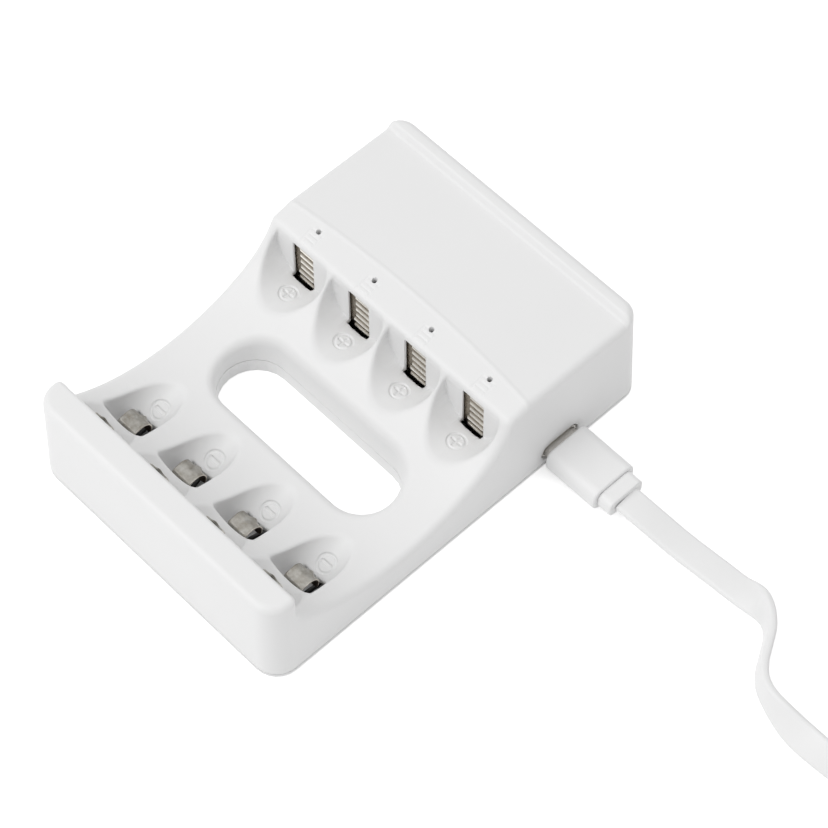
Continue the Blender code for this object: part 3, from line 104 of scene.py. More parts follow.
# The port for the plug in the side
PORT_Y, PORT_Z, PORT_STRAIGHT, PORT_RADIUS, PORT_X = 26.4, 3.95, 2.9, 2.05, 29.0

# Sunk marks: places in Y, half lengths, and how wide a margin round them is worked finely
PLUS_Y, PLUS_HALF, PLUS_WIDER = 8.2, 1.1, 0.05
MINUS_Y, MINUS_HALF, MINUS_WIDER = -26.05, 0.95, 0.16
RING_WIDER = 0.03
SIGN_LINES, SIGN_HALF, SIGN_SHARE = (13.25, 14.35, 15.45, 16.55), 1.5, 0.34
MARK_SPLIT, MARK_SETTLED, MARK_KEPT, MARK_CUTS, MARK_LIMIT = 0.6, 1.2, 0.5, 3, 0.15
MARK_SLOPE, LEVEL_ENOUGH = 0.28, 0.2
FAR_AWAY = 9.0

# The box that holds the housing's skin, how far it is thinned and the marks are spared, and
# the angle from which an edge stays sharp
SKIN_BOX = ((-34.8, -49.3, 0.9), (34.8, 49.3, 27.2))
THINNED_TO, MARKS_SPARED = 190000, 400.0
SHARP_FROM = radians(48.0)

# The near plug's body and strain relief: ends along X, and how far their long edges, front
# and rear are rounded
BODY_ENDS, BODY_ROUND = (35.65, 49.0), (2.2, 0.85, 0.35)
RELIEF_ENDS, RELIEF_ROUND = (49.02, 52.4), (1.4, 0.08, 0.25)
BAR_STEP = 0.2

# The lead's route
LEAD_ROUTE = (
    (57.0, 26.75, 3.7), (62.0, 27.35, 3.1), (69.0, 28.1, 2.0), (77.0, 28.7, 2.0),
    (83.5, 28.8, 2.1), (88.2, 27.8, 2.6), (91.2, 25.6, 3.1), (93.4, 22.2, 3.2), (95.6, 18.6, 3.1),
    (98.4, 16.0, 2.7), (102.4, 14.5, 2.1), (108.0, 13.7, 2.0), (115.0, 13.6, 2.1),
    (121.5, 13.5, 2.4), (128.0, 13.2, 2.9), (134.5, 12.85, 3.2), (141.0, 12.75, 3.2),
)
LEAD_STEP, CURVE_PARTS = 1.2, 24
LEAD_CORNER = 0.42   # share of its thickness that the lead's corners are rounded by
LEAD_NODES = (
    "plug_shell", "coil_tie", "far_strain_relief", "far_plug_body", "far_plug_shell",
    "far_plug_insulator",
)

# Where along X the lead rolls up, back and then on edge, and by how much; the length over which
# it comes down to the floor, and its clearance there
ROLL_UP, ROLL_BACK, ROLL_ON_EDGE = (79.0, 91.0), (98.5, 112.0), (111.0, 133.0)
ROLLED_UP, ROLLED_BACK, ROLLED_ON = radians(82.0), 0.5, radians(49.0)
LEAD_LANDING, LEAD_CLEAR = 21.0, 0.05

# The coil, in degrees from +X; where the last turn's hump rises, goes outwards, falls and rolls
# is counted from HUMP_START
COIL_START, COIL_END, COIL_STEP, HUMP_START = -90.0, 825.1, 4.0, 720.0
COIL_INSET, COIL_PITCH, COIL_HEIGHT, HUMP_RADIUS, HUMP_HEIGHT = 1.15, 2.3, 3.15, 37.9, 8.2
HUMP_RISE, HUMP_OUT, HUMP_FALL = (-8.0, 28.0), (14.0, 68.0), (50.0, 99.0)
HUMP_FLAT, HUMP_UPRIGHT = (-10.0, 24.0), (56.0, 97.0)
TUCK, TUCK_AT, TUCK_SPREAD = 1.5, 12.0, 16.0
TIE_LIFT, TIE_AT, TIE_SPREAD = 0.85, -20.0, 22.0

# The tail: its heading at the coil, the reach of its ends, and where along -X it turns flat
TAIL_HEADING, TAIL_REACH, TAIL_POINTS, TAIL_FLAT = radians(105.0), 6.0, 13, (-128.0, -116.0)

# A negative contact from the top of its rear leg to the foot of its hood: y, z and half width
CONTACT_LINE = (
    (-39.4, 16.95, 2.7), (-39.4, 13.0, 2.7), (-39.4, 10.0, 2.7), (-39.4, 7.0, 2.15),
    (-39.4, 4.0, 2.15), (-39.13, 3.37, 2.15), (-38.5, 3.1, 2.15), (-37.87, 3.37, 2.15),
    (-37.2, 4.1, 2.15), (-35.7, 5.3, 2.15), (-34.95, 6.3, 2.15), (-34.85, 7.6, 2.2),
    (-34.7, 8.7, 2.4), (-34.2, 9.2, 2.45), (-33.4, 9.35, 2.45), (-32.6, 9.45, 2.45),
    (-31.85, 9.45, 2.45), (-31.1, 9.05, 2.45), (-30.55, 8.35, 2.45), (-30.28, 7.5, 2.45),
    (-30.35, 6.5, 2.4), (-30.65, 5.5, 2.35),
)

# How finely it is drawn, how its ends and sides are rounded, where its legs, pit and hood
# start, how strong its painted highlight and painted shade are, and the crown of its top edge
CONTACT_STEP, END_ROUND, SIDE_ROUND = 0.22, 0.5, 0.06
ACROSS_POINTS, SIDE_POINTS = 27, (0.55, 0.0, -0.55)
REAR_LEG_Y, REAR_LEG_FOOT, REAR_LEG_HIGHLIGHT, BRIGHT_FROM = -38.8, 5.0, 0.25, -38.0
PIT_Y, PIT_Z, HOOD_Y, FRONT_LEG_Y, HOOD_UNDERSIDE_SHADE = -36.0, 8.0, -35.3, -31.0, 0.9
CROWN, CROWN_SPREAD, CROWN_RUN = 0.4, 1.0, 1.0

# Forms pressed into it: middle across and along the strip, and half widths; how far out
LEG_NIB, LEG_NIB_HEIGHT = (0.0, 16.4, 0.7, 0.8), 0.3
HOOD_NIB = (0.0, 7.3, 0.62, 0.9)
HOOD_PIT, HOOD_PIT_DEPTH = (-0.1, -31.7, 0.3, 0.3), 0.2

# A positive contact: its plate, neck and foot as boxes, and its ridges
PLATE_BOXES = (
    ((-3.55, 13.14, 10.0), (3.55, 13.44, 22.4)),
    ((-1.0, 13.14, 8.2), (1.0, 13.44, 10.0)),
    ((-1.0, 13.14, 7.85), (1.0, 15.9, 8.15)),
)
RIDGE_STRAIGHT, RIDGE_HALF, RIDGE_SUNK = 1.9, 0.72, 0.12
RIDGE_POINTS, RIDGE_LEVELS, CREST_HIGHLIGHT_POWER = 48, 8, 1.6
FIRST_RIDGE, LOWER_RIDGES, LOWER_SHIFT = (0.9, 13.14, 11.65), 2, -0.6

# The camera that fits the photograph: its turn in degrees, its place along its own axes,
# its focal length, frame and middle in pixels, and its clipping in metres
CAMERA_TURN = (46.2017, 56.1953, 0.054)
CAMERA_PLACE = (17.476, 13.427, -646.44)
FOCAL, FRAME, MIDDLE = 3272.2, 828.0, (430.33, 356.35)
SENSOR, CLIP = 36.0, (0.01, 20.0)

# Soft lamps: name, place in metres, width in metres and power in watts
LAMPS = (
    ("key", (-0.35, -0.75, 0.85), 0.7, 4.8),
    ("top", (0.05, 0.15, 1.1), 0.8, 2.0),
)

# Strength of the world and of the floor's glow, and half the floor's side in metres
WORLD_LEVEL, FLOOR_GLOW, FLOOR_HALF = 0.66, 0.45, 3.0
FLOOR_COLOUR = (0.9, 0.9, 0.9, 1.0)

# How finely the drawn lines of rolled sheet are spaced along X, Y and Z, for each metre
DRAWN_ALONG_X = (300.0, 2500.0, 2500.0)
DRAWN_ALONG_Z = (2500.0, 2500.0, 300.0)


class ChargerColours(bpy.types.PropertyGroup):
    """Colours of the charger's finishes."""

    housing: FloatVectorProperty(
        name="Housing", description="White of the moulded housing", subtype="COLOR",
        default=(0.80, 0.80, 0.80), min=0.0, max=1.0)
    lead: FloatVectorProperty(
        name="Lead", description="White of the lead and its plugs", subtype="COLOR",
        default=(0.82, 0.82, 0.82), min=0.0, max=1.0)
    nickel: FloatVectorProperty(
        name="Nickel", description="Colour of the plated contacts", subtype="COLOR",
        default=(0.50, 0.49, 0.46), min=0.0, max=1.0)
    # Painted highlight: the colour that lights the sprung contacts' edges
    edge: FloatVectorProperty(
        name="Painted edge highlight", description="Colour of cut edges and rubbed ridges", subtype="COLOR",
        default=(0.90, 0.85, 0.76), min=0.0, max=1.0)
    steel: FloatVectorProperty(
        name="Steel", description="Colour of the plug shells and screws", subtype="COLOR",
        default=(0.66, 0.65, 0.63), min=0.0, max=1.0)


class ChargerSizes(bpy.types.PropertyGroup):
    """Sizes of the charger's visible pieces."""

    grid: FloatProperty(
        name="Surface step", description="Spacing of the grid that the housing's skin is drawn on",
        default=0.36 * MM, unit="LENGTH")
    side_fillet: FloatProperty(
        name="Side fillet", description="Rounding between the top and the sides",
        default=1.6 * MM, unit="LENGTH")
    rim_fillet: FloatProperty(
        name="Rim fillet", description="Rounding of the scoops' and pockets' rims",
        default=0.55 * MM, unit="LENGTH")
    opening_fillet: FloatProperty(
        name="Opening fillet", description="Rounding of the oblong opening's rim",
        default=2.0 * MM, unit="LENGTH")
    lead_width: FloatProperty(
        name="Lead width", description="Width of the flat lead",
        default=6.2 * MM, unit="LENGTH")
    lead_thickness: FloatProperty(
        name="Lead thickness", description="Thickness of the flat lead",
        default=1.7 * MM, unit="LENGTH")
    mark_radius: FloatProperty(
        name="Mark radius", description="Radius of the sunk ring round each polarity mark",
        default=1.82 * MM, unit="LENGTH")
    mark_line: FloatProperty(
        name="Mark line", description="Width of the sunk lines of the marks",
        default=0.42 * MM, unit="LENGTH")
    mark_depth: FloatProperty(
        name="Mark depth", description="Depth of the sunk lines of the marks",
        default=0.25 * MM, unit="LENGTH")
    ridge_pitch: FloatProperty(
        name="Ridge pitch", description="Distance between the ridges of a positive contact",
        default=1.94 * MM, unit="LENGTH")
    ridge_height: FloatProperty(
        name="Ridge height", description="How far those ridges stand out",
        default=0.42 * MM, unit="LENGTH")
    ridges: IntProperty(
        name="Ridges", description="Number of ridges on a positive contact",
        default=6, min=1, max=9)
    sheet: FloatProperty(
        name="Sheet", description="Thickness of the sprung contacts",
        default=0.35 * MM, unit="LENGTH")
    nib_height: FloatProperty(
        name="Nib height", description="How far the pressed nibs of a negative contact stand out",
        default=0.6 * MM, unit="LENGTH")
    bays: IntProperty(
        name="Bays", description="Number of cell bays", default=4, min=1, max=8)
    bay_pitch: FloatProperty(
        name="Bay pitch", description="Distance between neighbouring bays",
        default=16.0 * MM, unit="LENGTH")


def sizes():
    return bpy.context.scene.charger_sizes


def colours():
    return bpy.context.scene.charger_colours


# Distances: each function gives how far a point lies outside a form, in millimetres

def round_join(first, second, radius):
    blend = np.hypot(np.maximum(radius - first, 0.0), np.maximum(radius - second, 0.0))
    return np.maximum(radius, np.minimum(first, second)) - blend


def round_meet(first, second, radius):
    blend = np.hypot(np.maximum(radius + first, 0.0), np.maximum(radius + second, 0.0))
    return np.minimum(-radius, np.maximum(first, second)) + blend


def outline_gap(past_x, past_y, radius):
    """Distance from a rounded rectangle, by how far a point is past the corners' centres."""
    outside = np.hypot(np.maximum(past_x, 0.0), np.maximum(past_y, 0.0))
    return outside + np.minimum(np.maximum(past_x, past_y), 0.0) - radius


def box_gap(x, y, z, bay, low, high):
    """Distance from a box whose X counts from the bay's middle."""
    gap_x = np.maximum(bay + low[0] - x, x - (bay + high[0]))
    gap_y = np.maximum(low[1] - y, y - high[1])
    gap_z = np.maximum(low[2] - z, z - high[2])
    return np.maximum(np.maximum(gap_x, gap_y), gap_z)


def plan_gap(x, y, z):
    """Distance from the drafted outline with its rounded corners."""
    draft = DRAFT * (DRAFT_TOP - z) / DRAFT_TOP
    radius = np.where(y < 0, FRONT_CORNER, REAR_CORNER)
    past_x = np.abs(x) - (HALF_WIDTH + draft - radius)
    past_y = np.abs(y) - (HALF_LENGTH + draft - radius)
    return outline_gap(past_x, past_y, radius)


def arc_gap(y, z, arc):
    return arc[2] - np.hypot(y - arc[0], z - arc[1])


def sweep_gap(y, z):
    """Distance into the three tangent arcs of the hollow between lip and housing."""
    middle_y, middle_z, _ = WIDE_ARC
    beyond = (y - middle_y) * cos(WIDE_ARC_TURN) + (z - middle_z) * sin(WIDE_ARC_TURN)
    rear = np.where(beyond > 0, arc_gap(y, z, TIGHT_ARC), arc_gap(y, z, WIDE_ARC))
    return np.where(y < middle_y, arc_gap(y, z, FRONT_ARC), rear)


def top_height(x, y):
    """The housing's top: lamp strip, crease, main plate and rear ridge."""
    crease = CREASE_Y + CREASE_BOW * (1 - (x / HALF_WIDTH) ** 2)
    strip = STRIP_TOP + (y - STRIP_Y) * STRIP_RISE / (crease - STRIP_Y)
    plate = PLATE_TOP - (y - crease) * PLATE_FALL / (RIDGE_Y - crease)
    bead = CREASE_HIGH * np.exp(-((y - crease) / CREASE_WIDE) ** 2)
    height = np.where(y < crease, strip, plate) + bead
    share = np.clip((y - RIDGE_Y) / RIDGE_RUN, 0.0, 1.0)
    ridge = RIDGE_FOOT + RIDGE_RISE * share * share * (3 - 2 * share)
    height = np.where(y > RIDGE_Y, ridge, height)
    return np.where(y < 0, LIP_TOP, height)


def plain_body(x, y, z, side):
    """The body before its scoops and pockets."""
    solid = round_join(sweep_gap(y, z) + 0 * x, y - LIP_REAR, LIP_FILLET)
    solid = round_meet(z - top_height(x, y), solid, TOP_FILLET)
    return round_meet(solid, plan_gap(x, y, z), side)


def scoop_gap(x, y, z, bay):
    """The round scoop in front of a window, its floor sinking towards it."""
    floor = SCOOP_FLOOR - SCOOP_SINK * np.clip((y - SINK_Y) / SINK_RUN, 0.0, 1.0)
    bore = np.hypot(x - bay, z - floor - SCOOP_RADIUS) - SCOOP_RADIUS
    return np.maximum(np.maximum(bore, y - SCOOP_REAR), SCOOP_FRONT - y)


def cradle_gap(x, y, z, bay):
    """The round cradle behind the lip, where a thick cell's end lies."""
    bore = np.hypot(x - bay, z - CRADLE_Z) - CRADLE_RADIUS
    return np.maximum(np.maximum(bore, LIP_REAR - y), y - CRADLE_REAR)


def pocket_gap(x, y, z, bay):
    """The leaf-shaped pocket: round sections that grow and sink towards the lip."""
    share = np.clip((y - POCKET_TIP) / -POCKET_REACH, 0.0, 1.0)
    radius = POCKET_RADIUS + POCKET_GROWTH * share
    middle_y, middle_z, arc = FRONT_ARC
    sweep = middle_z - np.sqrt(np.maximum(arc ** 2 - (y - middle_y) ** 2, 1.0))
    floor = sweep - POCKET_SINK * (1 - (1 - share) ** POCKET_CURVE)
    bore = np.hypot(x - bay, np.minimum(z - floor - radius, 0.0)) - radius
    bore = np.maximum(bore, y - POCKET_TIP)
    return round_meet(bore, POCKET_FRONT - y, POCKET_FILLET)


def opening_gap(x, y):
    along = np.maximum(np.abs(x) - OPENING_STRAIGHT, 0.0)
    return np.hypot(along, y - OPENING_Y) - OPENING_RADIUS


def bay_places():
    pitch = sizes().bay_pitch / MM
    count = sizes().bays
    return [(index - (count - 1) / 2) * pitch for index in range(count)]


def housing_gap(x, y, z):
    """The whole top housing as one shell, open below."""
    rim = sizes().rim_fillet / MM
    outer = plain_body(x, y, z, sizes().side_fillet / MM)
    hollow = plain_body(x, y, z, INNER_FILLET) + WALL
    hole = opening_gap(x, y)
    hollow = np.maximum(hollow, np.where(z > TUBE_FOOT, TUBE_WALL - hole, -FAR_AWAY))
    for bay in bay_places():
        scoop = scoop_gap(x, y, z, bay)
        pocket = pocket_gap(x, y, z, bay)
        cradle = cradle_gap(x, y, z, bay)
        outer = round_meet(outer, -scoop, rim)
        outer = round_meet(outer, -cradle, CRADLE_FILLET)
        outer = round_meet(outer, -pocket, rim)
        hollow = np.maximum(hollow, SCOOP_WALL - scoop)
        hollow = np.maximum(hollow, SCOOP_WALL - cradle)
        hollow = np.maximum(hollow, POCKET_WALL - pocket)
    outer = round_meet(outer, -(hole + 0 * z), sizes().opening_fillet / MM)
    for bay in bay_places():
        hollow = np.minimum(hollow, box_gap(x, y, z, bay, *PLATE_SEAT))
    shell = np.maximum(outer, -hollow)
    for bay in bay_places():
        shell = round_meet(shell, -box_gap(x, y, z, bay, *WINDOW), WINDOW_FILLET)
        lamp_hole = np.hypot(x - bay, y - LAMP_Y) - LAMP_RADIUS
        shell = np.maximum(shell, -np.maximum(lamp_hole, LAMP_FOOT - z))
        for slot in (LEG_SLOT, HOOD_SLOT):
            shell = round_meet(shell, -box_gap(x, y, z, bay, *slot), SLOT_FILLET)
    along = np.maximum(np.abs(y - PORT_Y) - PORT_STRAIGHT, 0.0)
    port = np.hypot(along, z - PORT_Z) - PORT_RADIUS
    shell = np.maximum(shell, -np.maximum(port, PORT_X - x))
    return round_meet(shell, FOOT_Z - z, FOOT_FILLET)


# Sunk marks, by their distance in plan from the nearest line

def stroke_gap(x, y, start, end):
    run_x, run_y = end[0] - start[0], end[1] - start[1]
    share = ((x - start[0]) * run_x + (y - start[1]) * run_y) / (run_x ** 2 + run_y ** 2)
    share = np.clip(share, 0.0, 1.0)
    return np.hypot(x - start[0] - share * run_x, y - start[1] - share * run_y)


def polarity_gap(x, y):
    """Distance from the ringed plus and minus of every bay."""
    ring = sizes().mark_radius / MM
    gap = np.full(np.shape(x), FAR_AWAY)
    for bay in bay_places():
        strokes = (
            ((bay - PLUS_HALF, PLUS_Y), (bay + PLUS_HALF, PLUS_Y), PLUS_WIDER),
            ((bay, PLUS_Y - PLUS_HALF), (bay, PLUS_Y + PLUS_HALF), PLUS_WIDER),
            ((bay - MINUS_HALF, MINUS_Y), (bay + MINUS_HALF, MINUS_Y), MINUS_WIDER),
        )
        for centre in (PLUS_Y, MINUS_Y):
            gap = np.minimum(gap, np.abs(np.hypot(x - bay, y - centre) - ring) - RING_WIDER)
        for start, end, wider in strokes:
            gap = np.minimum(gap, stroke_gap(x, y, start, end) - wider)
    return gap


def sign_gap(x, y):
    """Distance from the battery sign of every bay."""
    gap = np.full(np.shape(x), FAR_AWAY)
    for bay in bay_places():
        left, right = bay - SIGN_HALF, bay + SIGN_HALF
        strokes = [((left, line), (right, line)) for line in SIGN_LINES]
        strokes += [((end, SIGN_LINES[0]), (end, SIGN_LINES[-1])) for end in (left, right)]
        for start, end in strokes:
            gap = np.minimum(gap, stroke_gap(x, y, start, end))
    return gap


def mark_gap(x, y):
    return np.minimum(polarity_gap(x, y), sign_gap(x, y))


def finer_marks(mesh):
    """Splits the faces round the marks and sinks their lines; gives the points to thin."""
    form = bmesh.new()
    form.from_mesh(mesh)
    middles = np.array([face.calc_center_median() for face in form.faces]) / MM
    upright = np.array([face.normal.z for face in form.faces])
    near = (mark_gap(middles[:, 0], middles[:, 1]) < MARK_SPLIT) & (upright > LEVEL_ENOUGH)
    form.faces.ensure_lookup_table()
    edges = {edge for index in np.flatnonzero(near) for edge in form.faces[index].edges}
    bmesh.ops.subdivide_edges(form, edges=list(edges), cuts=MARK_CUTS, use_grid_fill=True)
    form.to_mesh(mesh)
    form.free()
    points = np.empty(3 * len(mesh.vertices), np.float32)
    mesh.vertices.foreach_get("co", points)
    points = points.reshape(-1, 3).astype(np.float64) / MM
    marked = np.flatnonzero(mark_gap(points[:, 0], points[:, 1]) < MARK_SETTLED)
    settled = settle(housing_gap, points[marked], MARK_LIMIT)
    normal = slopes(housing_gap, settled)
    normal /= np.maximum(np.linalg.norm(normal, axis=1, keepdims=True), 1e-6)
    half = sizes().mark_line / MM / 2
    depth = np.zeros(len(settled))
    for gap, deep in ((polarity_gap, 1.0), (sign_gap, SIGN_SHARE)):
        share = half + MARK_SLOPE / 2 - gap(settled[:, 0], settled[:, 1])
        share = np.clip(share / MARK_SLOPE, 0.0, 1.0)
        depth = np.maximum(depth, deep * share * share * (3 - 2 * share))
    depth *= sizes().mark_depth / MM * (normal[:, 2] > LEVEL_ENOUGH)
    points[marked] = settled - normal * depth[:, None]
    mesh.vertices.foreach_set("co", (points * MM).astype(np.float32).ravel())
    mesh.update()
    top = np.zeros(len(points), bool)
    top[marked[normal[:, 2] > LEVEL_ENOUGH]] = True
    return np.flatnonzero(~(top & (mark_gap(points[:, 0], points[:, 1]) < MARK_KEPT)))


def skin(gap, low, high, step):
    """A quad mesh of the surface where the distance is zero, a point to each crossed cell."""
    lines = [np.arange(start, end + step, step, dtype=np.float32) for start, end in zip(low, high)]
    field = gap(lines[0][:, None, None], lines[1][None, :, None], lines[2][None, None, :])
    field = np.broadcast_to(field, [len(line) for line in lines]).astype(np.float32)
    inside = field < 0
    cells = [size - 1 for size in field.shape]
    count = np.zeros(cells, np.int8)
    for corner in np.ndindex(2, 2, 2):
        part = tuple(slice(offset, offset + size) for offset, size in zip(corner, cells))
        count += inside[part]
    crossed = (count > 0) & (count < 8)
    number = np.full(cells, -1, np.int32)
    places = np.argwhere(crossed)
    number[crossed] = np.arange(len(places))
    total = np.zeros((len(places), 3), np.float32)
    weight = np.zeros(len(places), np.float32)
    for axis in range(3):
        for corner in np.ndindex(2, 2, 2):
            if corner[axis]:
                continue
            start = places + corner
            end = start.copy()
            end[:, axis] += 1
            first = field[tuple(start.T)]
            second = field[tuple(end.T)]
            cut = (first < 0) != (second < 0)
            share = np.where(cut, first / np.where(cut, first - second, 1.0), 0.0)
            point = start.astype(np.float32)
            point[:, axis] += share
            total[cut] += point[cut]
            weight[cut] += 1
    points = total / weight[:, None]
    quads = []
    for axis in range(3):
        near = [slice(None)] * 3
        far = [slice(None)] * 3
        near[axis], far[axis] = slice(0, -1), slice(1, None)
        change = inside[tuple(near)] != inside[tuple(far)]
        where = np.argwhere(change)
        side, other = [index for index in range(3) if index != axis]
        keep = (where[:, side] > 0) & (where[:, other] > 0)
        keep &= (where[:, side] < cells[side]) & (where[:, other] < cells[other])
        where = where[keep]
        ring = []
        for back_side, back_other in ((1, 1), (0, 1), (0, 0), (1, 0)):
            cell = where.copy()
            cell[:, side] -= back_side
            cell[:, other] -= back_other
            ring.append(number[tuple(cell.T)])
        faces = np.stack(ring, axis=1)
        leaving = inside[tuple(where.T)]
        flip = leaving if axis == 1 else ~leaving
        faces[flip] = faces[flip][:, ::-1]
        quads.append(faces)
    return points * step + np.array(low, np.float32), np.concatenate(quads)


def slopes(gap, points, reach=0.03):
    """The direction in which the distance grows at each point."""
    grown = np.empty_like(points)
    for axis in range(3):
        ahead, behind = points.copy(), points.copy()
        ahead[:, axis] += reach
        behind[:, axis] -= reach
        grown[:, axis] = (gap(*ahead.T) - gap(*behind.T)) / (2 * reach)
    return grown


def settle(gap, points, limit, times=3):
    """Moves points onto the surface, each by no more than the limit."""
    moved = points.astype(np.float64)
    for _ in range(times):
        direction = slopes(gap, moved)
        size = np.maximum((direction ** 2).sum(axis=1), 0.25)
        step = -gap(*moved.T)[:, None] * direction / size[:, None]
        length = np.linalg.norm(step, axis=1, keepdims=True)
        moved += step * np.minimum(1.0, limit / np.maximum(length, 1e-9))
    return moved


def mesh_of(name, points, faces):
    mesh = bpy.data.meshes.new(name)
    mesh.vertices.add(len(points))
    mesh.vertices.foreach_set("co", np.asarray(points, np.float32).ravel())
    count = faces.shape[1]
    mesh.loops.add(faces.size)
    mesh.loops.foreach_set("vertex_index", faces.astype(np.int32).ravel())
    mesh.polygons.add(len(faces))
    mesh.polygons.foreach_set("loop_start", np.arange(0, faces.size, count, dtype=np.int32))
    mesh.update(calc_edges=True)
    mesh.validate()
    return mesh


def add(name, mesh, body, material):
    piece = bpy.data.objects.new(name, mesh)
    bpy.context.scene.collection.objects.link(piece)
    mesh.materials.clear()
    mesh.materials.append(material)
    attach(piece, body)
    return piece


def finished(form, name):
    """Turns a bmesh into a mesh."""
    mesh = bpy.data.meshes.new(name)
    form.to_mesh(mesh)
    form.free()
    return mesh


def ring_faces(rings, count):
    """Quads between neighbouring rings of the same number of points."""
    rows, columns = np.meshgrid(np.arange(rings - 1), np.arange(count), indexing="ij")
    ahead = (columns + 1) % count
    ends = (rows * count + columns, rows * count + ahead,
            (rows + 1) * count + ahead, (rows + 1) * count + columns)
    return np.stack(ends, axis=-1).reshape(-1, 4)


def point_values(mesh, name, values):
    layer = mesh.attributes.new(name, "FLOAT", "POINT")
    layer.data.foreach_set("value", values.astype(np.float32))


# Nodes, written as tables: a name with its kind, settings and inputs, and then the links

def wired(tree, parts, links, **made):
    for label, (kind, settings, inputs) in parts.items():
        node = made[label] = tree.nodes.new(kind)
        for key, value in settings.items():
            setattr(node, key, value)
        for key, value in inputs.items():
            node.inputs[key].default_value = value
    for source, out, target, into in links:
        tree.links.new(made[source].outputs[out], made[target].inputs[into])


def new_sockets(tree, way, sockets):
    """Named sockets of a group, each with its kind and default."""
    for label, (kind, default) in sockets.items():
        socket = tree.interface.new_socket(label, in_out=way, socket_type="NodeSocket" + kind)
        if default is not None:
            socket.default_value = default


def effect(name, inputs, outputs, parts, links):
    """A shader node group, built once for all the materials that it is placed in."""
    if name in bpy.data.node_groups:
        return bpy.data.node_groups[name]
    group = bpy.data.node_groups.new(name, "ShaderNodeTree")
    new_sockets(group, "INPUT", inputs)
    new_sockets(group, "OUTPUT", outputs)
    wired(group, parts, links, start=group.nodes.new("NodeGroupInput"),
          end=group.nodes.new("NodeGroupOutput"))
    return group


# Materials

def moulded_grain():
    """Fine spark-eroded texture of a moulded surface, with a faint mottling of its tone."""
    return effect(
        "moulded grain",
        {
            "Grain Scale": ("Float", 5200.0), "Grain Height": ("Float", 0.15),
            "Mottle": ("Float", 0.02), "Colour": ("Color", (0.8, 0.8, 0.8, 1.0)),
        },
        {"Colour": ("Color", None), "Roughness": ("Float", None), "Height": ("Float", None)},
        {
            "place": ("ShaderNodeTexCoord", {}, {}),
            "grain": ("ShaderNodeTexNoise", {}, {"Detail": 3.0}),
            "height": ("ShaderNodeMath", {"operation": "MULTIPLY"}, {}),
            "broad": ("ShaderNodeTexNoise", {}, {"Scale": 60.0, "Detail": 4.0}),
            "darkest": ("ShaderNodeMath", {"operation": "SUBTRACT"}, {0: 1.0}),
            "tone": ("ShaderNodeMapRange", {}, {"To Max": 1.0}),
            "mix": ("ShaderNodeMix", {"data_type": "RGBA", "blend_type": "MULTIPLY"},
                    {"Factor": 1.0}),
            "rough": ("ShaderNodeMapRange", {}, {"To Min": 0.42, "To Max": 0.55}),
        },
        (
            ("place", "Object", "grain", "Vector"), ("start", "Grain Scale", "grain", "Scale"),
            ("grain", "Fac", "height", 0), ("start", "Grain Height", "height", 1),
            ("place", "Object", "broad", "Vector"), ("broad", "Fac", "tone", "Value"),
            ("start", "Mottle", "darkest", 1), ("darkest", "Value", "tone", "To Min"),
            ("start", "Colour", "mix", "A"), ("tone", "Result", "mix", "B"),
            ("grain", "Fac", "rough", "Value"), ("mix", "Result", "end", "Colour"),
            ("rough", "Result", "end", "Roughness"), ("height", "Value", "end", "Height"),
        ),
    )


def rolled_sheet():
    """Drawn lines and blotches in the plating of thin rolled sheet."""
    return effect(
        "rolled sheet",
        {
            "Colour": ("Color", (0.6, 0.6, 0.6, 1.0)), "Stain": ("Color", (0.4, 0.4, 0.4, 1.0)),
            "Roughness": ("Float", 0.3), "Lines": ("Vector", DRAWN_ALONG_X),
        },
        {"Colour": ("Color", None), "Roughness": ("Float", None), "Height": ("Float", None)},
        {
            "place": ("ShaderNodeTexCoord", {}, {}),
            "stretch": ("ShaderNodeMapping", {}, {}),
            "lines": ("ShaderNodeTexNoise", {}, {"Scale": 1.0, "Detail": 4.0}),
            "blotch": ("ShaderNodeTexNoise", {},
                       {"Scale": 620.0, "Detail": 7.0, "Roughness": 0.65}),
            "share": ("ShaderNodeMapRange", {}, {"From Min": 0.35, "From Max": 0.65}),
            "tone": ("ShaderNodeMix", {"data_type": "RGBA"}, {}),
            "spread": ("ShaderNodeMapRange", {}, {"To Min": -0.08, "To Max": 0.12}),
            "rough": ("ShaderNodeMath", {"operation": "ADD"}, {}),
        },
        (
            ("place", "Object", "stretch", "Vector"), ("start", "Lines", "stretch", "Scale"),
            ("stretch", "Vector", "lines", "Vector"), ("place", "Object", "blotch", "Vector"),
            ("blotch", "Fac", "share", "Value"), ("share", "Result", "tone", "Factor"),
            ("start", "Stain", "tone", "A"), ("start", "Colour", "tone", "B"),
            ("lines", "Fac", "spread", "Value"), ("spread", "Result", "rough", 0),
            ("start", "Roughness", "rough", 1), ("tone", "Result", "end", "Colour"),
            ("rough", "Value", "end", "Roughness"), ("lines", "Fac", "end", "Height"),
        ),
    )


def painted_highlight_and_shade():
    """Painted highlight by a piece's edge values and painted shade by its hollow values."""
    return effect(
        "painted highlight and shade",
        {
            # The metal's own colour, then a painted highlight's colour, then a painted shade's
            # colour
            "Colour": ("Color", (0.6, 0.6, 0.6, 1.0)), "Highlight": ("Color", (0.9, 0.9, 0.9, 1.0)),
            "Painted Shade": ("Color", (0.10, 0.066, 0.045, 1.0)),
        },
        {"Colour": ("Color", None)},
        {
            "edge": ("ShaderNodeAttribute", {"attribute_name": "edge"}, {}),
            "highlighted": ("ShaderNodeMix", {"data_type": "RGBA"}, {}),
            "hollow": ("ShaderNodeAttribute", {"attribute_name": "hollow"}, {}),
            "shaded": ("ShaderNodeMix", {"data_type": "RGBA"}, {}),
        },
        (
            ("edge", "Fac", "highlighted", "Factor"), ("start", "Colour", "highlighted", "A"),
            ("start", "Highlight", "highlighted", "B"), ("hollow", "Fac", "shaded", "Factor"),
            ("highlighted", "Result", "shaded", "A"), ("start", "Painted Shade", "shaded", "B"),
            ("shaded", "Result", "end", "Colour"),
        ),
    )


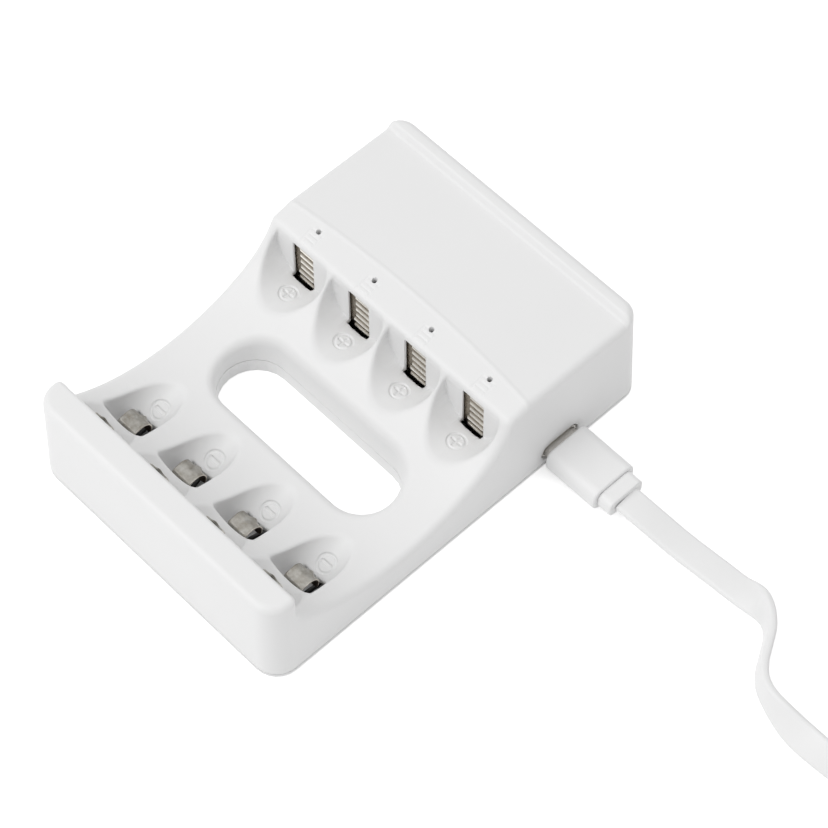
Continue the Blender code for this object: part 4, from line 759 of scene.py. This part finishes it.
def surface(name, bump_distance, bump_strength, parts, links):
    """A material whose part called finish gives its colour, roughness and height."""
    made = bpy.data.materials.new(name)
    made.use_nodes = True
    shader = made.node_tree.nodes["Principled BSDF"]
    bump = {"Distance": bump_distance, "Strength": bump_strength}
    wired(made.node_tree, {**parts, "bump": ("ShaderNodeBump", {}, bump)}, (
        *links, ("finish", "Roughness", "shader", "Roughness"),
        ("finish", "Height", "bump", "Height"), ("bump", "Normal", "shader", "Normal"),
    ), shader=shader)
    return made, shader


def plastic(name, colour, grain_height=0.15, mottle=0.02):
    """Moulded plastic with a fine grain."""
    if name in bpy.data.materials:
        return bpy.data.materials[name]
    grain = {"Colour": (*colour, 1.0), "Grain Height": grain_height, "Mottle": mottle}
    made, shader = surface(
        name, 0.00005, 0.5,
        {"finish": ("ShaderNodeGroup", {"node_tree": moulded_grain()}, grain)},
        [("finish", "Colour", "shader", "Base Color")])
    shader.inputs["IOR"].default_value = 1.5
    return made


def rolled_metal(name, colour, roughness, stain, lines=DRAWN_ALONG_X, painted_highlight=None):
    """Thin rolled sheet; where a highlight colour is given, also painted highlight and shade."""
    if name in bpy.data.materials:
        return bpy.data.materials[name]
    sheet = {"Colour": (*colour, 1.0), "Stain": (*stain, 1.0), "Roughness": roughness,
             "Lines": lines}
    parts = {"finish": ("ShaderNodeGroup", {"node_tree": rolled_sheet()}, sheet)}
    links = [("finish", "Colour", "shader", "Base Color")]
    if painted_highlight is not None:
        parts["wear"] = ("ShaderNodeGroup", {"node_tree": painted_highlight_and_shade()}, {"Highlight": (*painted_highlight, 1.0)})
        links = [("finish", "Colour", "wear", "Colour"), ("wear", "Colour", "shader", "Base Color")]
    made, shader = surface(name, 0.00002, 0.4, parts, links)
    shader.inputs["Metallic"].default_value = 1.0
    return made


def housing_white():
    return plastic("white housing", colours().housing)


def lead_white():
    return plastic("flexible white", colours().lead, grain_height=0.1, mottle=0.015)


def contact_nickel():
    # Its edges carry a painted highlight, its hood's underside painted shade
    return rolled_metal("nickel", colours().nickel, 0.38, (0.31, 0.288, 0.25), painted_highlight=colours().edge)


def shaded_plate_metal():
    # Dark brown here is painted shade between the ridges; the crests get a painted highlight
    return rolled_metal("plate nickel", (0.30, 0.26, 0.205), 0.26, (0.20, 0.165, 0.12),
                        painted_highlight=(0.93, 0.90, 0.84))


# Geometry Nodes

def tree_of(name, inputs, parts, links):
    """A tree with named inputs, whose part called last is realized and painted."""
    tree = bpy.data.node_groups.new(name, "GeometryNodeTree")
    new_sockets(tree, "INPUT", {"Geometry": ("Geometry", None), **inputs,
                                "Material": ("Material", None)})
    new_sockets(tree, "OUTPUT", {"Geometry": ("Geometry", None)})
    closing = {
        "real": ("GeometryNodeRealizeInstances", {}, {}),
        "paint": ("GeometryNodeSetMaterial", {}, {}),
    }
    wired(tree, {**parts, **closing}, (
        *links, ("last", 0, "real", 0), ("real", 0, "paint", 0), ("paint", 0, "end", 0),
        ("start", "Material", "paint", "Material"),
    ), start=tree.nodes.new("NodeGroupInput"), end=tree.nodes.new("NodeGroupOutput"))
    return tree


def grown(name, source, tree, values, body, material):
    """Runs a node tree on a source object and keeps the result as a plain mesh."""
    bpy.context.scene.collection.objects.link(source)
    change = source.modifiers.new(name, "NODES")
    change.node_group = tree
    values["Material"] = material
    for item in tree.interface.items_tree:
        if item.item_type == "SOCKET" and item.in_out == "INPUT" and item.name in values:
            change[item.identifier] = values[item.name]
    graph = bpy.context.evaluated_depsgraph_get()
    mesh = bpy.data.meshes.new_from_object(source.evaluated_get(graph))
    mesh.name = name
    source.modifiers.remove(change)
    bpy.data.objects.remove(source, do_unlink=True)
    return add(name, mesh, body, material)


# Camera, stage and lights

class CHARGER_OT_stage(bpy.types.Operator):
    """Sets the camera, floor, world and lamps."""

    bl_idname = "charger.stage"
    bl_label = "Studio"

    def execute(self, context):
        self.camera(context.scene)
        self.floor(context.scene)
        self.light(context.scene)
        context.scene.view_settings.view_transform = "Standard"
        return {"FINISHED"}

    def camera(self, scene):
        azimuth, elevation, roll = (radians(angle) for angle in CAMERA_TURN)
        forward = Vector((-sin(azimuth) * cos(elevation), cos(azimuth) * cos(elevation),
                          -sin(elevation)))
        level = Vector((cos(azimuth), sin(azimuth), 0.0))
        upward = level.cross(forward)
        right = level * cos(roll) + upward * sin(roll)
        up = upward * cos(roll) - level * sin(roll)
        data = bpy.data.cameras.new("camera")
        data.sensor_width = SENSOR
        data.lens = FOCAL * SENSOR / FRAME
        data.shift_x = (FRAME / 2 - MIDDLE[0]) / FRAME
        data.shift_y = (MIDDLE[1] - FRAME / 2) / FRAME
        data.clip_start, data.clip_end = CLIP
        camera = bpy.data.objects.new("camera", data)
        place = (CAMERA_PLACE[0] * right + CAMERA_PLACE[1] * up + CAMERA_PLACE[2] * forward) * MM
        turn = Matrix((right, up, -forward)).transposed().to_4x4()
        camera.matrix_world = Matrix.Translation(place) @ turn
        scene.collection.objects.link(camera)
        scene.camera = camera

    def floor(self, scene):
        form = bmesh.new()
        bmesh.ops.create_grid(form, x_segments=4, y_segments=4, size=FLOOR_HALF)
        floor = bpy.data.objects.new("floor", finished(form, "floor"))
        scene.collection.objects.link(floor)
        made = bpy.data.materials.new("pale floor")
        made.use_nodes = True
        made.node_tree.nodes.clear()
        wired(made.node_tree, {
            "diffuse": ("ShaderNodeBsdfDiffuse", {}, {"Color": FLOOR_COLOUR}),
            "glow": ("ShaderNodeEmission", {}, {}),
            "path": ("ShaderNodeLightPath", {}, {}),
            "seen": ("ShaderNodeMath", {"operation": "MAXIMUM"}, {}),
            "through": ("ShaderNodeMath", {"operation": "MAXIMUM"}, {}),
            "level": ("ShaderNodeMath", {"operation": "MULTIPLY"}, {1: FLOOR_GLOW}),
            "both": ("ShaderNodeAddShader", {}, {}),
            "out": ("ShaderNodeOutputMaterial", {}, {}),
        }, (
            ("path", "Is Camera Ray", "seen", 0), ("path", "Is Glossy Ray", "seen", 1),
            ("seen", 0, "through", 0), ("path", "Is Transmission Ray", "through", 1),
            ("through", 0, "level", 0), ("level", 0, "glow", "Strength"),
            ("diffuse", 0, "both", 0), ("glow", 0, "both", 1), ("both", 0, "out", "Surface"),
        ))
        floor.data.materials.append(made)

    def light(self, scene):
        world = bpy.data.worlds.new("studio")
        world.use_nodes = True
        scene.world = world
        background = world.node_tree.nodes["Background"]
        background.inputs["Color"].default_value = (1.0, 1.0, 1.0, 1.0)
        background.inputs["Strength"].default_value = WORLD_LEVEL
        for name, spot, width, power in LAMPS:
            data = bpy.data.lights.new(name, "AREA")
            data.shape = "SQUARE"
            data.size = width
            data.energy = power
            lamp = bpy.data.objects.new(name, data)
            turn = (-Vector(spot)).to_track_quat("-Z", "Y").to_matrix().to_4x4()
            lamp.matrix_world = Matrix.Translation(spot) @ turn
            scene.collection.objects.link(lamp)


# Lead

def even_steps(points, spacing):
    """Points at even steps on a smooth curve through the given points."""
    nodes = np.array(points, float)
    nodes = np.vstack((2 * nodes[0] - nodes[1], nodes, 2 * nodes[-1] - nodes[-2]))
    dense = []
    for before, start, end, after in zip(nodes, nodes[1:], nodes[2:], nodes[3:]):
        for t in np.arange(CURVE_PARTS) / CURVE_PARTS:
            point = 2 * start + (end - before) * t
            point = point + (2 * before - 5 * start + 4 * end - after) * t ** 2
            dense.append(0.5 * (point + (3 * start - 3 * end + after - before) * t ** 3))
    dense.append(nodes[-2])
    kept = [dense[0]]
    for point in dense[1:]:
        if np.linalg.norm(point - kept[-1]) >= spacing:
            kept.append(point)
    kept[-1] = dense[-1]
    return np.array(kept)


def smooth_share(value, start, end):
    share = np.clip((value - start) / (end - start), 0.0, 1.0)
    return share * share * (3 - 2 * share)


def lead_path():
    """The lead's centre line in millimetres and how far it is rolled about itself."""
    relief_end = RELIEF_ENDS[1]
    middle_y = (RELIEF_BOX[0][1] + RELIEF_BOX[1][1]) / 2 / MM
    middle_z = (RELIEF_BOX[0][2] + RELIEF_BOX[1][2]) / 2 / MM
    route = even_steps(((relief_end, middle_y, middle_z), *LEAD_ROUTE), LEAD_STEP)
    x = route[:, 0]
    kept = 1 - ROLLED_BACK * smooth_share(x, *ROLL_BACK)
    rolls = ROLLED_UP * smooth_share(x, *ROLL_UP) * kept
    rolls += ROLLED_ON * smooth_share(x, *ROLL_ON_EDGE)
    thick, wide = sizes().lead_thickness / MM, sizes().lead_width / MM
    lying = 0.5 * (thick * np.abs(np.cos(rolls)) + wide * np.abs(np.sin(rolls))) + LEAD_CLEAR
    landed = smooth_share(x, relief_end, relief_end + LEAD_LANDING)
    route[:, 2] += (lying - route[:, 2]) * landed
    coil, coil_rolls = coil_path()
    tail, tail_rolls = tail_path(coil[-1])
    points = np.vstack((route, coil[1:], tail[1:]))
    return points, np.concatenate((rolls, coil_rolls[1:], tail_rolls[1:]))


def swell(value, middle, spread):
    return np.exp(-((value - middle) / spread) ** 2)


def coil_path():
    """The coil on edge, lifted by its tie, then a hump over its own turns and down outside."""
    low, high = (np.array(corner) / MM for corner in COIL_BOX)
    centre = (low + high) / 2
    outer = (high[0] - low[0]) / 2 - COIL_INSET
    degrees = np.arange(COIL_START, COIL_END, COIL_STEP)
    past = degrees - HUMP_START
    radius = outer - COIL_PITCH * (degrees - COIL_START) / 360
    radius += (HUMP_RADIUS - radius) * smooth_share(past, *HUMP_OUT)
    radius -= TUCK * swell(past, TUCK_AT, TUCK_SPREAD)
    from_tie = (degrees - TIE_AT + 180.0) % 360 - 180.0
    height = COIL_HEIGHT + TIE_LIFT * swell(from_tie, 0.0, TIE_SPREAD)
    lifted = smooth_share(past, *HUMP_RISE) * (1 - smooth_share(past, *HUMP_FALL))
    height += (HUMP_HEIGHT - height) * lifted
    rolls = pi / 2 * (1 + smooth_share(past, *HUMP_FLAT) + smooth_share(past, *HUMP_UPRIGHT))
    angle = np.radians(degrees)
    places = (centre[0] + radius * np.cos(angle), centre[1] + radius * np.sin(angle), height)
    return np.stack(places, axis=1), rolls


def tail_path(start):
    """From the coil's outside to the far plug, turning flat on the way."""
    low, high = (np.array(corner) / MM for corner in FAR_BOX)
    finish = np.array((high[0], (low[1] + high[1]) / 2, (low[2] + high[2]) / 2))
    first = start + TAIL_REACH * np.array((-sin(TAIL_HEADING), cos(TAIL_HEADING), 0.0))
    second = finish + np.array((TAIL_REACH, 0.0, 0.0))
    t = (np.arange(TAIL_POINTS) / (TAIL_POINTS - 1))[:, None]
    points = (1 - t) ** 3 * start + 3 * (1 - t) ** 2 * t * first
    points = points + 3 * (1 - t) * t * t * second + t ** 3 * finish
    return points, 1.5 * pi - pi / 2 * smooth_share(-points[:, 0], *TAIL_FLAT)


class CHARGER_OT_lead(bpy.types.Operator):
    """Makes the flat lead with its twist and its coil."""

    bl_idname = "charger.lead"
    bl_label = "Lead"

    def execute(self, context):
        points, rolls = lead_path()
        curve = bpy.data.curves.new("lead", "CURVE")
        curve.dimensions = "3D"
        spline = curve.splines.new("POLY")
        spline.points.add(len(points) - 1)
        for target, point, roll in zip(spline.points, points, rolls):
            target.co = (*(point * MM).tolist(), 1.0)
            target.tilt = float(roll)
        tree = tree_of(
            "flat lead",
            {
                "Width": ("Float", sizes().lead_width),
                "Thickness": ("Float", sizes().lead_thickness),
            },
            {
                "upright": ("GeometryNodeSetCurveNormal", {"mode": "Z_UP"}, {}),
                "section": ("GeometryNodeCurvePrimitiveQuadrilateral", {}, {}),
                "corner": ("ShaderNodeMath", {"operation": "MULTIPLY"}, {1: LEAD_CORNER}),
                "fillet": ("GeometryNodeFilletCurve", {"mode": "POLY"}, {"Count": 6}),
                "sweep": ("GeometryNodeCurveToMesh", {}, {"Fill Caps": True}),
                "last": ("GeometryNodeSetShadeSmooth", {}, {}),
            },
            (
                ("start", "Width", "section", "Width"),
                ("start", "Thickness", "section", "Height"),
                ("start", "Thickness", "corner", 0), ("section", "Curve", "fillet", "Curve"),
                ("corner", "Value", "fillet", "Radius"),
                ("start", "Geometry", "upright", "Curve"),
                ("upright", "Curve", "sweep", "Curve"),
                ("fillet", "Curve", "sweep", "Profile Curve"), ("sweep", 0, "last", 0),
            ),
        )
        values = {"Width": sizes().lead_width, "Thickness": sizes().lead_thickness}
        source = bpy.data.objects.new("lead source", curve)
        lead = grown("lead", source, tree, values, "usb_lead", lead_white())
        for node in ("lead_cable", "lead_coil", "lead_tail"):
            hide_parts(node)
        pieces = [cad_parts[name] for name in LEAD_NODES]
        pieces += [bpy.data.objects[name] for name in ("near_plug_body", "near_strain_relief")]
        return {"FINISHED"}


class CHARGER_OT_housing(bpy.types.Operator):
    """Makes the moulded top housing as one soft-edged shell."""

    bl_idname = "charger.housing"
    bl_label = "Top housing"

    def execute(self, context):
        step = sizes().grid / MM
        points, faces = skin(housing_gap, *SKIN_BOX, step)
        points = settle(housing_gap, points, step)
        mesh = mesh_of("moulded top housing", points * MM, faces)
        plain = finer_marks(mesh)
        source = bpy.data.objects.new("housing source", mesh)
        group = source.vertex_groups.new(name="plain")
        group.add(plain.tolist(), 1.0, "REPLACE")
        context.scene.collection.objects.link(source)
        thin = source.modifiers.new("thin", "DECIMATE")
        triangles = sum(len(face.vertices) - 2 for face in mesh.polygons)
        thin.ratio = min(1.0, THINNED_TO / triangles)
        thin.vertex_group = group.name
        thin.vertex_group_factor = MARKS_SPARED
        graph = context.evaluated_depsgraph_get()
        reduced = bpy.data.meshes.new_from_object(source.evaluated_get(graph))
        bpy.data.objects.remove(source, do_unlink=True)
        reduced.name = "moulded top housing"
        reduced.shade_smooth()
        reduced.set_sharp_from_angle(angle=SHARP_FROM)
        piece = add("moulded_top_housing", reduced, "charger", housing_white())
        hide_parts("top_housing")
        print("housing triangles", len(reduced.polygons), "from", triangles)
        return {"FINISHED"}


# Plug

def rounded_bar(x, y, z, low, high, corner, front, rear):
    """A bar along X with rounded corners, its two ends rounded by their own radii."""
    past_y = np.abs(y - (low[1] + high[1]) / 2) - (high[1] - low[1]) / 2 + corner
    past_z = np.abs(z - (low[2] + high[2]) / 2) - (high[2] - low[2]) / 2 + corner
    outline = outline_gap(past_y, past_z, corner)
    return round_meet(round_meet(outline + 0 * x, low[0] - x, front), x - high[0], rear)


def bar_piece(name, node, ends, corner, front, rear):
    """A moulded piece in the place of a node, with its own ends along X."""
    box = np.array(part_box(node))
    box[:, 0] = np.array(ends) * MM
    low, high = (np.array(end) / MM for end in box)

    def gap(x, y, z):
        return rounded_bar(x, y, z, low, high, corner, front, rear)

    points, faces = skin(gap, low - 2 * BAR_STEP, high + 2 * BAR_STEP, BAR_STEP)
    mesh = mesh_of(name, settle(gap, points, BAR_STEP) * MM, faces)
    mesh.shade_smooth()
    piece = add(name, mesh, "usb_lead", lead_white())
    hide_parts(node)


class CHARGER_OT_plug(bpy.types.Operator):
    """Makes the plug's moulded body and its strain relief."""

    bl_idname = "charger.plug"
    bl_label = "Plug body and strain relief"

    def execute(self, context):
        bar_piece("near_plug_body", "plug_body", BODY_ENDS, *BODY_ROUND)
        bar_piece("near_strain_relief", "plug_strain_relief", RELIEF_ENDS, *RELIEF_ROUND)
        return {"FINISHED"}


# Contacts

def pressed(x, along, middle_x, middle, wide, long):
    return swell(x, middle_x, wide) * swell(along, middle, long)


def sprung_strip(name, bay):
    """The folded strip as a closed sheet with its nibs and pit, and painted highlight and shade."""
    line = even_steps(CONTACT_LINE, CONTACT_STEP)
    heading = np.gradient(line[:, :2], axis=0)
    heading /= np.linalg.norm(heading, axis=1, keepdims=True)
    out = np.stack((-heading[:, 1], heading[:, 0]), axis=1)
    steps = np.linalg.norm(np.diff(line[:, :2], axis=0), axis=1)
    run = np.concatenate(((0.0,), np.cumsum(steps)))
    half = line[:, 2].copy()
    for away in (run, run[-1] - run):
        near = np.clip(1 - away / END_ROUND, 0.0, 1.0)
        half -= END_ROUND * (1 - np.sqrt(1 - near * near))
    thick = sizes().sheet / MM / 2
    across = np.linspace(-1.0, 1.0, ACROSS_POINTS)
    section = [(share, 1.0, 0.0) for share in across]
    section += [(1.0, share, 1.0) for share in SIDE_POINTS]
    section += [(share, -1.0, 0.0) for share in across[::-1]]
    section += [(-1.0, share, 1.0) for share in SIDE_POINTS[::-1]]
    section = np.array(section)
    inset = np.where(np.abs(section[:, 1]) == 1.0, SIDE_ROUND, 0.0)
    rings = []
    for (y, z, _), width, (out_y, out_z), at in zip(line, half, out, run):
        x = section[:, 0] * (width - inset)
        push = section[:, 1] * thick
        if y < REAR_LEG_Y and z > REAR_LEG_FOOT:
            push = push + LEG_NIB_HEIGHT * pressed(x, z, *LEG_NIB)
        if y > FRONT_LEG_Y:
            push = push + sizes().nib_height / MM * pressed(x, z, *HOOD_NIB)
        if z > PIT_Z and y > PIT_Y:
            push = push - HOOD_PIT_DEPTH * pressed(x, y, *HOOD_PIT)
        top = z + CROWN * swell(x, 0.0, CROWN_SPREAD) * max(0.0, 1 - at / CROWN_RUN)
        rings.append(np.stack((bay + x, y + out_y * push, top + out_z * push), axis=1))
    count = len(section)
    points = np.concatenate(rings)
    form = bmesh.new()
    form.from_mesh(mesh_of(name, points * MM, ring_faces(len(rings), count)))
    form.verts.ensure_lookup_table()
    for first in (0, len(points) - count):
        form.faces.new([form.verts[first + index] for index in range(count)])
    bmesh.ops.recalc_face_normals(form, faces=form.faces)
    mesh = finished(form, name)
    # Painted highlight along the sheet's edges, weaker on the rear leg
    shown = np.where(line[:, 0] < BRIGHT_FROM, REAR_LEG_HIGHLIGHT, 1.0)
    point_values(mesh, "edge", np.outer(shown, section[:, 2]).ravel())
    # Painted shade on the underside of the hood
    below = np.outer(line[:, 0] > HOOD_Y, section[:, 1] < 0).ravel() * HOOD_UNDERSIDE_SHADE
    point_values(mesh, "hollow", below)
    mesh.shade_smooth()
    return mesh


class CHARGER_OT_negative_contacts(bpy.types.Operator):
    """Makes the sprung negative contacts."""

    bl_idname = "charger.negative_contacts"
    bl_label = "Negative contacts"

    def execute(self, context):
        for index, bay in enumerate(bay_places(), 1):
            mesh = sprung_strip(f"sprung contact {index}", bay)
            piece = add(f"sprung_contact_{index}", mesh, f"spring_contact_{index}",
                        contact_nickel())
            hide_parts(f"negative_contact_{index}")
        return {"FINISHED"}


def ridge_mesh():
    """One pressed ridge: a long low swelling with round ends."""
    high = sizes().ridge_height / MM
    turn = np.linspace(0.0, 2 * pi, RIDGE_POINTS, endpoint=False)
    levels = np.linspace(1.0, 0.0, RIDGE_LEVELS)
    rings = []
    for level in levels:
        x = np.sign(np.cos(turn)) * RIDGE_STRAIGHT + level * RIDGE_HALF * np.cos(turn)
        out = RIDGE_SUNK - high * (0.5 + 0.5 * cos(pi * level)) - RIDGE_SUNK * (level < 1.0)
        z = level * RIDGE_HALF * np.sin(turn)
        rings.append(np.stack((x, np.full_like(x, out), z), axis=1))
    faces = ring_faces(RIDGE_LEVELS, RIDGE_POINTS)
    form = bmesh.new()
    form.from_mesh(mesh_of("ridge", np.concatenate(rings) * MM, faces))
    form.verts.ensure_lookup_table()
    form.faces.new([form.verts[index] for index in range(RIDGE_POINTS)])
    bmesh.ops.remove_doubles(form, verts=form.verts, dist=MERGE)
    bmesh.ops.holes_fill(form, edges=form.edges)
    bmesh.ops.recalc_face_normals(form, faces=form.faces)
    mesh = finished(form, "ridge")
    # Painted highlight on the crest, fading down the ridge's sides
    depths = np.array([vertex.co.y for vertex in mesh.vertices]) / MM
    point_values(mesh, "edge",
                 np.clip((RIDGE_SUNK / 2 - depths) / high, 0.0, 1.0) ** CREST_HIGHLIGHT_POWER)
    mesh.shade_smooth()
    return mesh


def plate_mesh(bay):
    """The flat plate, with the narrow neck and foot below it."""
    form = bmesh.new()
    for low, high in (map(Vector, box) for box in PLATE_BOXES):
        place = Matrix.Translation(((low + high) / 2 + Vector((bay, 0, 0))) * MM)
        scale = Matrix.Diagonal((*((high - low) * MM), 1.0))
        bmesh.ops.create_cube(form, size=1.0, matrix=place @ scale)
    return finished(form, "plate")


class CHARGER_OT_positive_contacts(bpy.types.Operator):
    """Makes the ridged positive contacts, their ridges set out at even steps."""

    bl_idname = "charger.positive_contacts"
    bl_label = "Positive contacts"

    def execute(self, context):
        ridge = bpy.data.objects.new("ridge source", ridge_mesh())
        context.scene.collection.objects.link(ridge)
        tree = tree_of(
            "ridged plate",
            {
                "Ridge": ("Object", None), "Ridges": ("Int", 6), "First": ("Vector", None),
                "Step": ("Vector", None), "Lower Ridges": ("Int", LOWER_RIDGES),
                "Lower Shift": ("Vector", None),
            },
            {
                "row": ("GeometryNodeMeshLine", {}, {}),
                "number": ("GeometryNodeInputIndex", {}, {}),
                "lower": ("FunctionNodeCompare",
                          {"data_type": "INT", "operation": "LESS_THAN"}, {}),
                "shift": ("GeometryNodeSetPosition", {}, {}),
                "ridge": ("GeometryNodeObjectInfo", {}, {}),
                "copies": ("GeometryNodeInstanceOnPoints", {}, {}),
                "last": ("GeometryNodeJoinGeometry", {}, {}),
            },
            (
                ("start", "Ridges", "row", "Count"), ("start", "First", "row", "Start Location"),
                ("start", "Step", "row", "Offset"), ("number", "Index", "lower", "A"),
                ("start", "Lower Ridges", "lower", "B"), ("row", "Mesh", "shift", "Geometry"),
                ("lower", "Result", "shift", "Selection"),
                ("start", "Lower Shift", "shift", "Offset"),
                ("start", "Ridge", "ridge", "Object"), ("shift", "Geometry", "copies", "Points"),
                ("ridge", "Geometry", "copies", "Instance"),
                ("copies", "Instances", "last", "Geometry"),
                ("start", "Geometry", "last", "Geometry"),
            ),
        )
        across, out, up = FIRST_RIDGE
        for index, bay in enumerate(bay_places(), 1):
            plate = bpy.data.objects.new("plate source", plate_mesh(bay))
            values = {
                "Ridge": ridge, "Ridges": sizes().ridges, "Lower Ridges": LOWER_RIDGES,
                "First": ((bay + across) * MM, out * MM, up * MM),
                "Step": (0.0, 0.0, sizes().ridge_pitch),
                "Lower Shift": (LOWER_SHIFT * MM, 0.0, 0.0),
            }
            piece = grown(f"ridged_contact_{index}", plate, tree, values, "charger", shaded_plate_metal())
            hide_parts(f"positive_contact_{index}")
        bpy.data.objects.remove(ridge, do_unlink=True)
        return {"FINISHED"}


class CHARGER_OT_carried_nodes(bpy.types.Operator):
    """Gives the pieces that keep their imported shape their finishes."""

    bl_idname = "charger.carried_nodes"
    bl_label = "Cover, far plug and inner pieces"

    def execute(self, context):
        steel = rolled_metal("steel", colours().steel, 0.25, (0.55, 0.54, 0.52))
        can = rolled_metal("aluminium", (0.78, 0.78, 0.8), 0.3, (0.7, 0.7, 0.72), DRAWN_ALONG_Z)
        black = plastic("black plastic", (0.03, 0.03, 0.03))
        lens = plastic("lamp lens", (0.7, 0.72, 0.7), grain_height=0.02)
        finishes = {
            "bottom_cover": housing_white(), "far_strain_relief": lead_white(),
            "far_plug_body": lead_white(), "socket_shell": steel, "plug_shell": steel,
            "far_plug_shell": steel, "capacitor": can, "charge_controller": black,
            "socket_tongue": black, "far_plug_insulator": black,
            "circuit_board": plastic("board green", (0.03, 0.16, 0.07)),
            "inductor": plastic("ferrite", (0.08, 0.08, 0.09), grain_height=0.5),
            "coil_tie": plastic("tie", (0.06, 0.06, 0.06), grain_height=0.8),
        }
        for index in range(1, sizes().bays + 1):
            finishes[f"indicator_lamp_{index}"] = lens
            finishes[f"negative_lead_{index}"] = black
            finishes[f"cover_screw_{index}"] = steel
        for name, material in finishes.items():
            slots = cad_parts[name].data.materials
            slots.clear()
            slots.append(material)
        return {"FINISHED"}


class CHARGER_PT_panel(bpy.types.Panel):
    """Lists the charger's pieces."""

    bl_label = "Charger"
    bl_idname = "CHARGER_PT_panel"
    bl_space_type = "VIEW_3D"
    bl_region_type = "UI"
    bl_category = "Charger"

    def draw(self, context):
        layout = self.layout
        for group in (context.scene.charger_sizes, context.scene.charger_colours):
            for name in group.bl_rna.properties.keys():
                if name not in ("rna_type", "name"):
                    layout.prop(group, name)
        for operator in OPERATORS:
            layout.operator(operator.bl_idname)


OPERATORS = (
    CHARGER_OT_stage, CHARGER_OT_plug, CHARGER_OT_lead, CHARGER_OT_housing,
    CHARGER_OT_negative_contacts, CHARGER_OT_positive_contacts, CHARGER_OT_carried_nodes,
)
CLASSES = (ChargerColours, ChargerSizes, *OPERATORS, CHARGER_PT_panel)


def register():
    for cls in CLASSES:
        bpy.utils.register_class(cls)
    bpy.types.Scene.charger_colours = PointerProperty(type=ChargerColours)
    bpy.types.Scene.charger_sizes = PointerProperty(type=ChargerSizes)


def unregister():
    del bpy.types.Scene.charger_sizes
    del bpy.types.Scene.charger_colours
    for cls in reversed(CLASSES):
        bpy.utils.unregister_class(cls)


def main():
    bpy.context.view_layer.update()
    register()
    bpy.ops.charger.stage()
    bpy.ops.charger.plug()
    bpy.ops.charger.lead()
    bpy.ops.charger.housing()
    bpy.ops.charger.negative_contacts()
    bpy.ops.charger.positive_contacts()
    bpy.ops.charger.carried_nodes()


if __name__ == "__main__":
    main()
